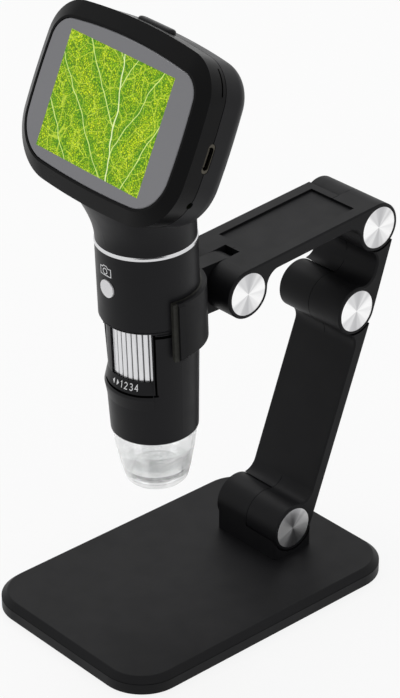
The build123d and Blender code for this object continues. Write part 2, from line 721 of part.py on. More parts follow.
def lower_housing():
    """Tapered lower barrel with the focus window, the collars for the lens guide and the cap's seat."""
    spigot_top = seam + LOWER_SPIGOT
    spigot_outer = UPPER_RADIUS - UPPER_WALL - RING_FIT
    ledge_top = guide_low
    ledge_low = guide_low - LOWER_LEDGE
    mouth_bore = LOWER_MOUTH_RADIUS - CAP_WALL
    body = turned([
        (wheel_bore, spigot_top),
        (spigot_outer, spigot_top),
        (spigot_outer, seam),
        (LOWER_TOP_RADIUS, seam),
        (LOWER_FOOT_RADIUS, lower_end + LOWER_EDGE),
        (LOWER_FOOT_RADIUS - LOWER_EDGE, lower_end),
        (mouth_bore, lower_end),
        (mouth_bore, ledge_low),
        (guide_inner, ledge_low),
        (guide_inner, ledge_top),
        (collar_bore, ledge_top),
        (collar_bore, ledge_top + COLLAR_HEIGHT),
        (LOWER_FOOT_RADIUS - CASE_WALL, ledge_top + COLLAR_HEIGHT),
        (LOWER_FOOT_RADIUS - CASE_WALL, collar_top - COLLAR_HEIGHT),
        (collar_bore, collar_top - COLLAR_HEIGHT),
        (collar_bore, collar_top),
        (wheel_bore, collar_top),
    ])
    recess_floor = wheel_bore + RECESS_SKIN
    window_top = seam - WINDOW_DROP
    window_low = wheel_low + GUIDE_FIT
    sill_low = wheel_low - SILL_HEIGHT
    lip_radius = recess_floor + SILL_RISE
    flank_low = sill_low - SILL_FLANK
    lip = [
        (recess_floor, flank_low),
        (lower_radius(flank_low) - RING_FIT, flank_low),
        (lip_radius, sill_low - SILL_LIP),
        (lip_radius, sill_low),
        (recess_floor, window_low),
    ]
    body += sector(lip, RECESS_START, WINDOW_END)
    outside = LOWER_TOP_RADIUS + 1
    recess = [
        (recess_floor, window_top),
        (outside, window_top),
        (outside, sill_low),
        (lip_radius, sill_low),
        (recess_floor, window_low),
    ]
    body -= sector(recess, RECESS_START, WINDOW_END)
    opening = [
        (collar_bore, window_low),
        (outside, window_low),
        (outside, window_top),
        (collar_bore, window_top),
    ]
    body -= sector(opening, WINDOW_START, WINDOW_END)
    body -= led_ribbon_channel()
    return BARREL * body


def focus_wheel():
    """Fluted ring that turns on the lens guide, with an annular cam groove inside."""
    flute_circle = WHEEL_RADIUS + FLUTE_RADIUS / 3
    outline = Circle(WHEEL_RADIUS) - PolarLocations(flute_circle, FLUTE_COUNT) * Circle(FLUTE_RADIUS)
    outline -= Circle(WHEEL_RADIUS - WHEEL_WALL)
    body = Pos(0, 0, wheel_low) * extrude(outline, WHEEL_HEIGHT)
    middle = (wheel_top + wheel_low) / 2
    reach = CARRIER_TRAVEL + CARRIER_PIN_RADIUS + SEAT_CLEARANCE
    groove_radius = WHEEL_RADIUS - WHEEL_WALL + CAM_GROOVE
    body -= ring(groove_radius, WHEEL_RADIUS - WHEEL_WALL - 1, middle - reach, middle + reach)
    return BARREL * body


def lens_guide():
    """Tube that guides the lens carrier in two slots, with a flange on top and a nose below."""
    bore_low = guide_low + LOWER_LEDGE
    flange_radius = wheel_bore - GUIDE_FIT
    body = turned([
        (guide_inner, guide_top + GUIDE_FLANGE),
        (flange_radius, guide_top + GUIDE_FLANGE),
        (flange_radius, guide_top),
        (guide_outer, guide_top),
        (guide_outer, guide_low),
        (NOSE_RADIUS, guide_low),
        (NOSE_RADIUS, guide_low - NOSE_LENGTH),
        (NOSE_BORE, guide_low - NOSE_LENGTH),
        (NOSE_BORE, bore_low),
        (guide_inner, bore_low),
    ])
    middle = (wheel_top + wheel_low) / 2
    reach = CARRIER_TRAVEL + CARRIER_PIN_RADIUS + SEAT_CLEARANCE
    slot = block((-2 * UPPER_RADIUS, 2 * UPPER_RADIUS), (-GUIDE_SLOT / 2, GUIDE_SLOT / 2),
                 (middle - reach, middle + reach))
    body -= slot
    body -= led_ribbon_channel()
    for place in sensor_screw_places():
        body -= Pos(*place, 0) * disc(SMALL_SCREW_RADIUS + SCREW_CLEARANCE, guide_top,
                                      guide_top + GUIDE_FLANGE)
    return BARREL * body


def led_ribbon_channel():
    """Groove at the back of the guide's bore for the ribbon that feeds the LEDs."""
    width = GUIDE_SLOT + 1
    return block((-width / 2, width / 2), (0, guide_inner + GUIDE_WALL / 2),
                 (guide_low - LOWER_LEDGE, guide_top + GUIDE_FLANGE))


def sensor_screw_places():
    """Two screws of the sensor board, on the guide's flange."""
    radius = (guide_outer + wheel_bore) / 2
    return [(radius * cos(radians(a)), radius * sin(radians(a))) for a in (0, 180)]


def lens_carrier():
    """Sliding lens barrel with two drive pins through the guide's slots."""
    outer = guide_inner - CARRIER_FIT
    middle = (wheel_top + wheel_low) / 2
    body = ring(outer, outer - CARRIER_WALL, middle - CARRIER_LENGTH / 2, middle + CARRIER_LENGTH / 2)
    reach = WHEEL_RADIUS - WHEEL_WALL + CAM_GROOVE - SEAT_CLEARANCE
    for side in (0, 180):
        pin = Cylinder(CARRIER_PIN_RADIUS, reach - outer + CARRIER_WALL / 2, rotation=(0, 90, 0))
        centre = (reach + outer - CARRIER_WALL / 2) / 2
        body += Rot(0, 0, side) * (Pos(centre, 0, middle) * pin)
    return BARREL * body


def lens():
    """Glass lens in the carrier."""
    radius = guide_inner - CARRIER_FIT - CARRIER_WALL - SCREW_CLEARANCE
    low = (wheel_top + wheel_low) / 2 - CARRIER_LENGTH / 2 + 1
    return BARREL * disc(radius, low, low + LENS_THICKNESS)


def sensor_board():
    """Round board with the image sensor, screwed to the lens guide's flange."""
    top = seam + LOWER_SPIGOT
    body = disc(wheel_bore - GUIDE_FIT, top, top + SENSOR_BOARD_THICKNESS)
    for place in sensor_screw_places():
        body -= Pos(*place, 0) * disc(SMALL_SCREW_RADIUS + SCREW_CLEARANCE, top,
                                      top + SENSOR_BOARD_THICKNESS)
    return BARREL * body


def image_sensor():
    """Sensor chip on the board's underside."""
    top = seam + LOWER_SPIGOT
    half = SENSOR_SIZE / 2
    return BARREL * block((-half, half), (-half, half), (top - SENSOR_HEIGHT, top))


def sensor_screws():
    """Two small screws through the sensor board into the guide's flange."""
    top = seam + LOWER_SPIGOT + SENSOR_BOARD_THICKNESS
    screws = []
    for place in sensor_screw_places():
        screw = disc(SMALL_SCREW_RADIUS, guide_top + SCREW_CLEARANCE, top)
        screw += disc(SMALL_SCREW_HEAD, top, top + SMALL_SCREW_HEAD_HEIGHT)
        screws.append(BARREL * (Pos(*place, 0) * screw))
    return Compound(children=screws)


def led_board():
    """Ring board against the lower housing's ledge."""
    top = guide_low - LOWER_LEDGE
    radius = LOWER_MOUTH_RADIUS - CAP_WALL - RING_FIT
    return BARREL * ring(radius, LED_BOARD_HOLE, top - LED_BOARD_THICKNESS, top)


def leds():
    """Lamps on a circle under the LED board."""
    top = guide_low - LOWER_LEDGE - LED_BOARD_THICKNESS
    lamps = []
    for place in PolarLocations(LED_CIRCLE, LED_COUNT).local_locations:
        lamp = block((-LED_SIZE / 2, LED_SIZE / 2), (-LED_SIZE / 2, LED_SIZE / 2), (top - LED_HEIGHT, top))
        lamps.append(BARREL * (place * lamp))
    return Compound(children=lamps)


def led_ribbon():
    """Narrow flat cable in the guide's back groove, from the sensor board to the LED board."""
    width = GUIDE_SLOT
    outer = guide_inner + GUIDE_WALL / 2 - SCREW_CLEARANCE
    return BARREL * block((-width / 2, width / 2), (outer - RIBBON_THICKNESS, outer),
                          (guide_low - LOWER_LEDGE, guide_top + GUIDE_FLANGE))


def camera_ribbon():
    """Flat cable from the sensor board up through the neck to the main board's back."""
    start = barrel_point + barrel_up * (seam + LOWER_SPIGOT + SENSOR_BOARD_THICKNESS)
    bend = barrel_point + barrel_up * (HEAD_STATION - RIBBON_BEND_DROP)
    board_back = BOARD_TOP_DEPTH + BOARD_THICKNESS
    end = head_point(0, -BOARD_LOW + RIBBON_BEND_RADIUS, -board_back - RIBBON_THICKNESS / 2)
    corner = head_point(0, -BOARD_LOW - 1, -board_back - RIBBON_THICKNESS / 2)
    plane = Plane(origin=(-RIBBON_WIDTH / 2, 0, 0), x_dir=(0, 1, 0), z_dir=(1, 0, 0))
    points = [(p.Y, p.Z) for p in (start, bend, corner, end)]
    path = FilletPolyline(*points, radius=RIBBON_BEND_RADIUS)
    outline = trace(path, RIBBON_THICKNESS)
    return extrude(plane * outline, RIBBON_WIDTH)


# ================================================================ snapshot button
def snapshot_button():
    """Round key with a flange behind the housing wall and a stem to the switch."""
    face = UPPER_RADIUS + SNAP_PROUD
    bore = UPPER_RADIUS - UPPER_WALL
    flange_radius = SNAP_RADIUS + BUTTON_CLEARANCE + SNAP_FLANGE
    flange_front = sqrt(bore ** 2 - flange_radius ** 2) - BUTTON_CLEARANCE
    body = disc(SNAP_RADIUS, flange_front - SNAP_FLANGE_HEIGHT, face)
    body = fillet(body.edges().group_by(Axis.Z)[-1], SNAP_EDGE)
    body += disc(flange_radius, flange_front - SNAP_FLANGE_HEIGHT, flange_front)
    body += disc(TACT_PLUNGER_RADIUS, snap_stem_end(), flange_front)
    return BARREL * (snap_place() * body)


def snap_stem_end():
    """How far in front of the barrel axis the button's stem ends."""
    plunger = SNAP_BOARD_DEPTH + TACT_HEIGHT + TACT_PLUNGER_HEIGHT
    return plunger + SNAP_TRAVEL + PRESS_CLEARANCE


def snapshot_board():
    """Small upright board in the upper housing with the tact switch that the button presses."""
    bore = UPPER_RADIUS - UPPER_WALL
    half = sqrt(bore ** 2 - SNAP_BOARD_DEPTH ** 2) - PAD_CLEARANCE
    height = SNAP_BOARD_HEIGHT / 2
    back = SNAP_BOARD_DEPTH - SNAP_BOARD_THICKNESS
    body = block((-half, half), (-height, height), (back, SNAP_BOARD_DEPTH))
    side = TACT_SIZE / 2
    body += block((-side, side), (-side, side), (SNAP_BOARD_DEPTH, SNAP_BOARD_DEPTH + TACT_HEIGHT))
    body += disc(TACT_PLUNGER_RADIUS, SNAP_BOARD_DEPTH, SNAP_BOARD_DEPTH + TACT_HEIGHT + TACT_PLUNGER_HEIGHT)
    return BARREL * (snap_place() * body)


# ================================================================ clear cap
def clear_cap():
    """Clear tapered cup that plugs into the lower housing's mouth. Its tip is open and has a thicker wall."""
    mouth_bore = LOWER_MOUTH_RADIUS - CAP_WALL
    spigot_outer = mouth_bore - CAP_FIT
    tip = lower_end - CAP_LENGTH
    lip_inner = CAP_TIP_RADIUS - CAP_TIP_ROUND - CAP_LIP
    return BARREL * turned([
        (spigot_outer - CAP_WALL, lower_end + CAP_SPIGOT),
        (spigot_outer, lower_end + CAP_SPIGOT),
        (spigot_outer, lower_end),
        (LOWER_MOUTH_RADIUS, lower_end),
        (CAP_UPPER_RADIUS, lower_end - CAP_UPPER_DROP),
        (CAP_WAIST_RADIUS, lower_end - CAP_WAIST_DROP),
        (CAP_TIP_RADIUS, tip + CAP_TIP_ROUND),
        (CAP_TIP_RADIUS - CAP_TIP_ROUND, tip),
        (lip_inner, tip),
        (lip_inner, tip + CAP_LIP_HEIGHT),
        (CAP_TIP_RADIUS - CAP_WALL + CAP_FIT, tip + CAP_LIP_HEIGHT),
        (CAP_WAIST_RADIUS - CAP_WALL, lower_end - CAP_WAIST_DROP),
        (CAP_UPPER_RADIUS - CAP_WALL, lower_end - CAP_UPPER_DROP),
        (spigot_outer - CAP_WALL, lower_end - 1),
    ])


# ================================================================ head
def head_point(u, v, n):
    """World point of head coordinates: u across, v up the screen, n out of the screen."""
    return HEAD.from_local_coords(Vector(u, v, n))


def soft_rectangle(half_w, half_h, top_corner, low_corner, top_bow, low_bow, side_bow):
    """Rounded rectangle with gently bowed sides and its own corners above and below."""
    x = half_w - side_bow
    high = half_h - top_bow
    deep = low_bow - half_h
    middle = (high + deep) / 2
    outline = make_face([
        ThreePointArc((-x, high), (0, half_h), (x, high)),
        ThreePointArc((x, high), (half_w, middle), (x, deep)),
        ThreePointArc((x, deep), (0, -half_h), (-x, deep)),
        ThreePointArc((-x, deep), (-half_w, middle), (-x, high)),
    ])
    outline = fillet(outline.vertices().group_by(Axis.Y)[-1], top_corner)
    lowest = sorted(outline.vertices(), key=lambda item: abs(abs(item.X) - x) + abs(item.Y - deep))[:2]
    return fillet(lowest, low_corner)


def rim_outline(inset):
    """Outline of the head's rim, moved in by an inset."""
    return soft_rectangle(RIM_HALF_WIDTH - inset, RIM_HALF_HEIGHT - inset, RIM_TOP_CORNER - inset,
                          RIM_LOW_CORNER - inset, RIM_TOP_BOW, RIM_LOW_BOW, RIM_SIDE_BOW)


def glass_outline(grow):
    """Outline of the screen glass, grown by an amount."""
    return soft_rectangle(GLASS_HALF_WIDTH + grow, GLASS_HALF_HEIGHT + grow, GLASS_TOP_CORNER + grow,
                          GLASS_LOW_CORNER + grow, GLASS_TOP_BOW, GLASS_LOW_BOW, GLASS_SIDE_BOW)


def bezel_wall():
    """Solid inside the bezel's side wall, from the seam to the rim."""
    return loft([Pos(0, 0, -SEAM_DEPTH) * rim_outline(SKIRT_INSET), Pos(0, 0, -RIM_DEPTH) * rim_outline(0)],
                ruled=True)


def corner_slot():
    """Thin slot in front of the seam, round the upper right corner."""
    band = rim_outline(-CORNER_SLOT_DEPTH) - rim_outline(SKIRT_INSET + CORNER_SLOT_DEPTH)
    u, v = CORNER_SLOT_START
    middle = -CORNER_SLOT_BACK
    slot = Pos(0, 0, middle - CORNER_SLOT_WIDTH / 2) * extrude(band, CORNER_SLOT_WIDTH)
    return slot & block((u, 2 * RIM_HALF_WIDTH), (v, 2 * RIM_HALF_HEIGHT), (middle - 1, middle + 1))


def front_bezel():
    """Front frame: land round the glass, sloped face, side wall and the ledge behind the glass."""
    body = loft([Pos(0, 0, -RIM_DEPTH) * rim_outline(0), glass_outline(FACE_LAND)], ruled=True)
    body += bezel_wall()
    cavity_top = -RIM_DEPTH - CASE_WALL / 2
    cavity_height = SEAM_DEPTH + cavity_top
    body -= Pos(0, 0, -SEAM_DEPTH) * extrude(rim_outline(SKIRT_INSET + CASE_WALL), cavity_height)
    body -= Pos(0, 0, -GLASS_THICKNESS) * extrude(glass_outline(GLASS_CLEARANCE), 2 * GLASS_THICKNESS)
    body -= Pos(0, 0, -SEAM_DEPTH) * extrude(glass_outline(-GLASS_LEDGE), SEAM_DEPTH)
    body -= usb_opening()
    body -= reset_opening()
    body -= power_opening()
    body -= corner_slot()
    return HEAD * body


def screen_glass():
    """Cover glass with a fine chamfer round its front."""
    body = Pos(0, 0, -GLASS_THICKNESS) * extrude(glass_outline(0), GLASS_THICKNESS)
    return HEAD * chamfer(body.edges().group_by(Axis.Z)[-1], GLASS_EDGE)


def lcd_panel():
    """Display module bonded behind the glass."""
    half_w = LCD_WIDTH / 2
    half_h = LCD_HEIGHT / 2
    back = -GLASS_THICKNESS - LCD_THICKNESS
    return HEAD * block((-half_w, half_w), (-half_h, half_h), (back, -GLASS_THICKNESS))


def rear_block(inset):
    """Solid behind the seam with a rounded back edge, moved in by a wall."""
    front = Pos(0, 0, -SEAM_DEPTH) * rim_outline(SKIRT_INSET + inset)
    back = Pos(0, 0, -REAR_DEPTH + inset) * rim_outline(SKIRT_INSET + BACK_TAPER + inset)
    body = loft([back, front], ruled=True)
    return fillet(body.faces().sort_by(Axis.Z)[0].edges(), BACK_ROUND - inset)


def rear_case():
    """Rear shell with the neck that sits on the barrel, board bosses and side openings."""
    groove = rim_outline(0) - rim_outline(SKIRT_INSET + SEAM_GROOVE)
    shell = rear_block(0) - Pos(0, 0, -SEAM_DEPTH - SEAM_GROOVE) * extrude(groove, SEAM_GROOVE)
    body = HEAD * shell + (neck_solid() & behind_rim())
    body -= HEAD * bezel_wall()
    body -= HEAD * rear_block(CASE_WALL)
    body -= neck_cavity() & behind_seam(-1)
    back = -REAR_DEPTH + CASE_WALL / 2
    front = -BOARD_TOP_DEPTH - BOARD_THICKNESS
    bite = BOARD_SCREW_BITE + 1
    for place in boss_places():
        body += HEAD * (Pos(*place, 0) * disc(BOSS_RADIUS, back, front))
        body -= HEAD * (Pos(*place, 0) * disc(SMALL_SCREW_RADIUS + SCREW_CLEARANCE, front - bite, front))
    body -= HEAD * usb_opening()
    body -= HEAD * card_opening()
    body -= HEAD * reset_opening()
    body -= HEAD * power_opening()
    return body


def neck_section(rise):
    """Round section of the neck: it grows and moves forwards, so that its back corners stay upright."""
    swell = NECK_SWELL / 2 * (1 - cos(pi * min(rise / NECK_SWELL_HEIGHT, 1)))
    shift = swell / 2 / cos(radians(NECK_STRAIGHT_AZIMUTH))
    return Pos(0, -shift, neck_base + rise) * (Rot(0, 0, -90) * Circle(NECK_BASE_RADIUS + swell / 2))


def neck_solid():
    """Neck that swells forwards into the head, cut off by the sloping shoulder behind it."""
    rises = [NECK_SWELL_HEIGHT * step / NECK_SECTIONS for step in range(NECK_SECTIONS + 1)]
    rises.append(HEAD_STATION - neck_base)
    neck = BARREL * loft([neck_section(rise) for rise in rises])
    neck = neck & below_shoulder(0)
    outward = yz_direction(SHOULDER_SLOPE)
    shoulder_face = neck.faces().sort_by(lambda face: face.normal_at().dot(outward))[-1]
    back_edge = shoulder_face.edges().sort_by(Axis.Z)[0]
    return fillet(back_edge, SHOULDER_ROUND)


def neck_cavity():
    """Bore of the neck, open at the bottom and closed under the shoulder."""
    bore = BARREL * disc(NECK_BORE, neck_base - 1, HEAD_STATION)
    return bore & below_shoulder(CASE_WALL)


def below_shoulder(inset):
    """Half space in front of and below the shoulder plane, as a large block."""
    point = barrel_point + barrel_up * SHOULDER_HEIGHT + barrel_back * NECK_BASE_RADIUS
    outward = yz_direction(SHOULDER_SLOPE)
    plane = Plane(origin=point - outward * inset, x_dir=(1, 0, 0), z_dir=outward)
    reach = 4 * RIM_HALF_WIDTH
    return plane * block((-reach, reach), (-reach, reach), (-reach, 0))


def behind_seam(extra):
    """Half space behind the plane of the head's seam, as a large block."""
    reach = 4 * RIM_HALF_WIDTH
    return HEAD * block((-reach, reach), (-reach, reach), (-reach, -SEAM_DEPTH - extra))


def behind_rim():
    """Half space behind the head's rim, as a large block."""
    return behind_seam(RIM_DEPTH - SEAM_DEPTH)


board_edge = RIM_HALF_WIDTH - SKIRT_INSET - CASE_WALL - BOARD_EDGE_GAP


def boss_places():
    """Board bosses, mirrored left and right."""
    return [(sx * BOSS_X, sy * BOSS_Y) for sx in (-1, 1) for sy in (-1, 1)]


def main_board():
    """Main circuit board on the rear case's bosses."""
    height = BOARD_TOP + BOARD_LOW
    outline = Pos(0, (BOARD_TOP - BOARD_LOW) / 2) * RectangleRounded(2 * board_edge, height, BOARD_CORNER)
    body = Pos(0, 0, -BOARD_TOP_DEPTH - BOARD_THICKNESS) * extrude(outline, BOARD_THICKNESS)
    for place in boss_places():
        body -= Pos(*place, 0) * disc(SMALL_SCREW_RADIUS + SCREW_CLEARANCE, -REAR_DEPTH, 0)
    return HEAD * body


def board_screws():
    """Screws that hold the main board on its bosses."""
    top = -BOARD_TOP_DEPTH
    screws = []
    for place in boss_places():
        screw = disc(SMALL_SCREW_RADIUS, top - BOARD_THICKNESS - BOARD_SCREW_BITE, top)
        screw += disc(SMALL_SCREW_HEAD, top, top + SMALL_SCREW_HEAD_HEIGHT)
        screws.append(HEAD * (Pos(*place, 0) * screw))
    return Compound(children=screws)


def battery():
    """Flat cell glued to the main board's back."""
    front = -BOARD_TOP_DEPTH - BOARD_THICKNESS
    half_w = BATTERY_WIDTH / 2
    return HEAD * block((-half_w, half_w), (-BATTERY_HEIGHT / 2 + 1, BATTERY_HEIGHT / 2 + 1),
                        (front - BATTERY_THICKNESS, front))


usb_middle = -BOARD_TOP_DEPTH + USB_THICKNESS / 2
usb_front = RIM_HALF_WIDTH - SKIRT_INSET - SEAT_CLEARANCE


def stadium_bar(width, thickness, low, high):
    """Bar along head u with a stadium section, wide along v, centred on the USB port."""
    outline = SlotOverall(width, thickness)
    plane = Plane(origin=(low, USB_Y, usb_middle), x_dir=(0, 1, 0), z_dir=(1, 0, 0))
    return extrude(plane * outline, high - low)


def usb_opening():
    """Opening in the side wall for the USB socket's rounded collar."""
    width = USB_WIDTH + 2 * USB_BEZEL + 2 * GLASS_CLEARANCE
    thickness = USB_THICKNESS + 2 * GLASS_CLEARANCE
    return stadium_bar(width, thickness, RIM_HALF_WIDTH - SIDE_OPENING_DEPTH, RIM_HALF_WIDTH + 1)


def usb_socket():
    """USB-C receptacle on the main board, with its mouth, tongue and collar."""
    start = usb_front - USB_DEPTH
    body = stadium_bar(USB_WIDTH, USB_THICKNESS, start, usb_front)
    body += stadium_bar(USB_WIDTH + 2 * USB_BEZEL, USB_THICKNESS, usb_front - USB_COLLAR, usb_front)
    body -= stadium_bar(USB_WIDTH - 2 * USB_WALL, USB_THICKNESS - 2 * USB_WALL, start + 1, usb_front)
    half = USB_TONGUE_WIDTH / 2
    thick = USB_TONGUE_THICKNESS / 2
    tongue = block((start + USB_WALL, usb_front - 1), (USB_Y - half, USB_Y + half),
                   (usb_middle - thick, usb_middle + thick))
    return HEAD * (body + tongue)


def card_opening():
    """Slot in the left side wall for a memory card."""
    half = CARD_SLOT_WIDTH / 2
    return block((-RIM_HALF_WIDTH - 1, -RIM_HALF_WIDTH + SIDE_OPENING_DEPTH), (-half, half),
                 (-BOARD_TOP_DEPTH, -BOARD_TOP_DEPTH + CARD_SLOT_HEIGHT))


def card_socket():
    """Memory card socket on the main board, behind the slot."""
    edge = -board_edge - CARD_SOCKET_PROUD
    half = CARD_SOCKET_WIDTH / 2
    body = block((edge, edge + CARD_SOCKET_DEPTH), (-half, half),
                 (-BOARD_TOP_DEPTH, -BOARD_TOP_DEPTH + CARD_SOCKET_HEIGHT))
    inner = CARD_SLOT_WIDTH / 2
    floor = -BOARD_TOP_DEPTH + CARD_SOCKET_FLOOR
    body -= block((edge, edge + CARD_SOCKET_DEPTH - 1), (-inner, inner),
                  (floor, floor + CARD_SOCKET_HEIGHT / 2))
    return HEAD * body


def reset_opening():
    """Pinhole in the right side wall."""
    hole = Cylinder(RESET_HOLE, 2 * SIDE_OPENING_DEPTH, rotation=(0, 90, 0))
    return Pos(RIM_HALF_WIDTH, RESET_Y, -SEAM_DEPTH) * hole


def reset_switch():
    """Side-press switch on the main board's edge, behind the pinhole."""
    start = board_edge - RESET_SWITCH_INSET
    end = start + RESET_SWITCH_SIZE
    half = RESET_SWITCH_SIZE / 2
    low = -BOARD_TOP_DEPTH
    body = block((start, end), (RESET_Y - half, RESET_Y + half), (low, low + RESET_SWITCH_SIZE))
    plunger = Cylinder(RESET_HOLE / 2, RESET_HOLE, rotation=(0, 90, 0))
    return HEAD * (body + Pos(end + RESET_HOLE / 2, RESET_Y, low + half) * plunger)


def power_outline(grow):
    """Outline of the power key, seen from above the head."""
    plane = Plane(origin=(POWER_X, 0, -POWER_DEPTH), x_dir=(1, 0, 0), z_dir=(0, 1, 0))
    return plane * SlotOverall(POWER_LENGTH + 2 * grow, POWER_WIDTH + 2 * grow)


def power_opening():
    """Opening in the top wall for the power key."""
    opening = extrude(power_outline(BUTTON_CLEARANCE), RIM_HALF_HEIGHT)
    return Pos(0, BOARD_TOP + POWER_OPENING_LIFT, 0) * opening


def power_switch():
    """Side-press switch at the main board's top edge."""
    low = -BOARD_TOP_DEPTH
    top = BOARD_TOP + POWER_SWITCH_PROUD
    body = block((POWER_X - TACT_SIZE / 2, POWER_X + TACT_SIZE / 2), (BOARD_TOP - POWER_SWITCH_INSET, top),
                 (low, low + POWER_SWITCH_HEIGHT))
    plane = Plane(origin=(POWER_X, top, -POWER_DEPTH), x_dir=(1, 0, 0), z_dir=(0, 1, 0))
    plunger = extrude(plane * Circle(TACT_PLUNGER_RADIUS / 2), TACT_PLUNGER_HEIGHT)
    return HEAD * (body + plunger)


def power_button():
    """Long key in the head's top wall, with a stem to its switch."""
    stem_end = BOARD_TOP + POWER_SWITCH_PROUD + TACT_PLUNGER_HEIGHT + POWER_TRAVEL + PRESS_CLEARANCE
    face = RIM_HALF_HEIGHT + POWER_PROUD
    key_bottom = stem_end + POWER_STEM
    key = Pos(0, key_bottom, 0) * extrude(power_outline(0), face - key_bottom)
    body = fillet(key.edges().group_by(Axis.Y)[-1], POWER_ROUND)
    plane = Plane(origin=(POWER_X, stem_end, -POWER_DEPTH), x_dir=(1, 0, 0), z_dir=(0, 1, 0))
    body += extrude(plane * Circle(TACT_PLUNGER_RADIUS), key_bottom - stem_end)
    return HEAD * body


# ================================================================ write every node
save(base_plate(), "base_plate")
save(base_pad(), "base_pad")
save(base_ballast(), "base_ballast")
save(pedestal(), "pedestal")
save(pedestal_screws(), "pedestal_screws")

for hinge_name, centre in (("base", base_hinge), ("elbow", elbow), ("shoulder", shoulder)):
    save(hinge_pin(centre), hinge_name + "_hinge_pin")
    save(hinge_nut(centre), hinge_name + "_hinge_nut")
    save(friction_washer(centre), hinge_name + "_friction_washer")
    save(disc_cap(centre, 1), hinge_name + "_near_disc")
    save(disc_cap(centre, -1), hinge_name + "_far_disc")
save(hinge_pin(tilt_hinge), "tilt_hinge_pin")
save(hinge_nut(tilt_hinge), "tilt_hinge_nut")
save(disc_cap(tilt_hinge, 1), "tilt_near_disc")
save(disc_cap(tilt_hinge, -1), "tilt_far_disc")

save(lower_arm(), "lower_arm")
save(short_link(), "short_link")
save(top_arm(), "top_arm")
save(clip(), "clip")
save(clip_liner(), "clip_liner")

microscope_pieces = (
    trim_ring, upper_housing, lower_housing, focus_wheel, lens_guide, lens_carrier, lens,
    sensor_board, image_sensor, sensor_screws, led_board, leds, led_ribbon, camera_ribbon,
    snapshot_button, snapshot_board, clear_cap,
    front_bezel, screen_glass, lcd_panel, rear_case, main_board, board_screws, battery,
    usb_socket, card_socket, reset_switch, power_switch, power_button,
)
for piece in microscope_pieces:
    save(in_clip(piece()), piece.__name__)
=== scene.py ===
# %% [markdown]
# # A screen microscope in the clip of its folding stand
#
# This lesson dresses a finished mechanical model. The model already has every solid part in its place, so
# the work here is light, finishes, and the thin printed and clear pieces that are too fine for the solids.
# Lengths are in metres, +Z is up, and the microscope's screen looks towards -Y. Where a comment gives a size,
# it is the size of the real thing in millimetres.

# %% Load the mechanical model
import json
from math import cos, pi, radians, sin

import bmesh
import bpy
from mathutils import Matrix, Vector
from mathutils.bvhtree import BVHTree


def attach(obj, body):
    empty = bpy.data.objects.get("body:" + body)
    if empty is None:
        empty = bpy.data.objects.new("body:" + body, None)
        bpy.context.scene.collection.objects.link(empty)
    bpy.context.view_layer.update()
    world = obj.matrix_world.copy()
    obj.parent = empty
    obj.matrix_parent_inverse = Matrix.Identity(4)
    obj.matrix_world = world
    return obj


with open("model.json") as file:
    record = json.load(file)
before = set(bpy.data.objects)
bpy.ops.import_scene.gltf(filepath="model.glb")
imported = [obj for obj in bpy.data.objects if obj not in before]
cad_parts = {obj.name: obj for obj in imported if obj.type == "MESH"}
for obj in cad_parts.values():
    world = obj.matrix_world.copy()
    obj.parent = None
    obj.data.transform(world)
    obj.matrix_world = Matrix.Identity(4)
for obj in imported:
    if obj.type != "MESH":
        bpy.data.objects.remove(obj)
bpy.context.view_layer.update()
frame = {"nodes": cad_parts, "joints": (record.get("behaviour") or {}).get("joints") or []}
scene = bpy.context.scene
MM = 0.001

# %% [markdown]
# ## The camera
#
# The camera comes first, because every later choice is judged through it. A product shot of a small object
# uses a long lens from about a metre away: the longer the lens, the less the near corner of the base swells.
# It could be aimed with a tracking constraint, but a plain rotation from one direction vector moves with
# nothing else.

# %% Place the camera
AZIMUTH, ELEVATION = radians(48.10), radians(29.14)
CAMERA_PLACE = (0.65197, -0.58093, 0.59229)
towards_camera = Vector((
    sin(AZIMUTH) * cos(ELEVATION),
    -cos(AZIMUTH) * cos(ELEVATION),
    sin(ELEVATION),
))
camera = bpy.data.objects.new("camera", bpy.data.cameras.new("camera"))
camera.location = CAMERA_PLACE
camera.rotation_mode = "QUATERNION"
camera.rotation_quaternion = (-towards_camera).to_track_quat("-Z", "Y")
camera.data.sensor_width = 36
camera.data.lens = 139.4
camera.data.clip_start, camera.data.clip_end = 0.01, 20
scene.collection.objects.link(camera)
scene.camera = camera
print("camera distance, m:", round(camera.location.length, 3))

# %% [markdown]
# ## Two frames of reference
#
# The barrel leans back a little and the screen looks up at its reader, so their printed pieces need their own
# axes. The barrel's frame has z along the barrel and -y out of its front, and it starts from the joint in
# which the microscope turns in its clip, where it sits turned by two degrees. The head's frame has x across
# the screen, y up the screen and z out of the glass, and it follows from the barrel's. One matrix each is
# enough, and the same matrices serve the shaders.

# %% Frames of the barrel and the head
BARREL_LEAN, SCREEN_RISE, CLIP_TURN = 2.4, 23.39, -2.0
HEAD_UP_BARREL, HEAD_AHEAD = 79.2 * MM, 14.8 * MM
clip_joint = next(joint for joint in frame["joints"] if joint["name"] == "microscope_turn")
leaning = Matrix.Translation(clip_joint["pos_m"]) @ Matrix.Rotation(radians(BARREL_LEAN), 4, "X")
BARREL = leaning @ Matrix.Rotation(radians(CLIP_TURN), 4, "Z")
head_centre = BARREL @ Matrix.Translation((0, -HEAD_AHEAD, HEAD_UP_BARREL))
HEAD = head_centre @ Matrix.Rotation(radians(90 - SCREEN_RISE - BARREL_LEAN), 4, "X")
print("screen faces:", [round(c, 3) for c in HEAD.to_3x3() @ Vector((0, 0, 1))])

# %% [markdown]
# ## Light
#
# A soft studio: a white surround, one large soft box above the stand, and a weaker one to the right. The
# surround is white to the camera, to gloss and through clear plastic, so black plastic gets its long pale
# sheens. It lights the matt surfaces with less than that, because otherwise every colour would wash out.
#
# Light and finishes are both built from shader nodes, so three helpers come first. One finds a socket that is
# in use, one adds a node of any kind and feeds its inputs, and one reads a colour's hex code.


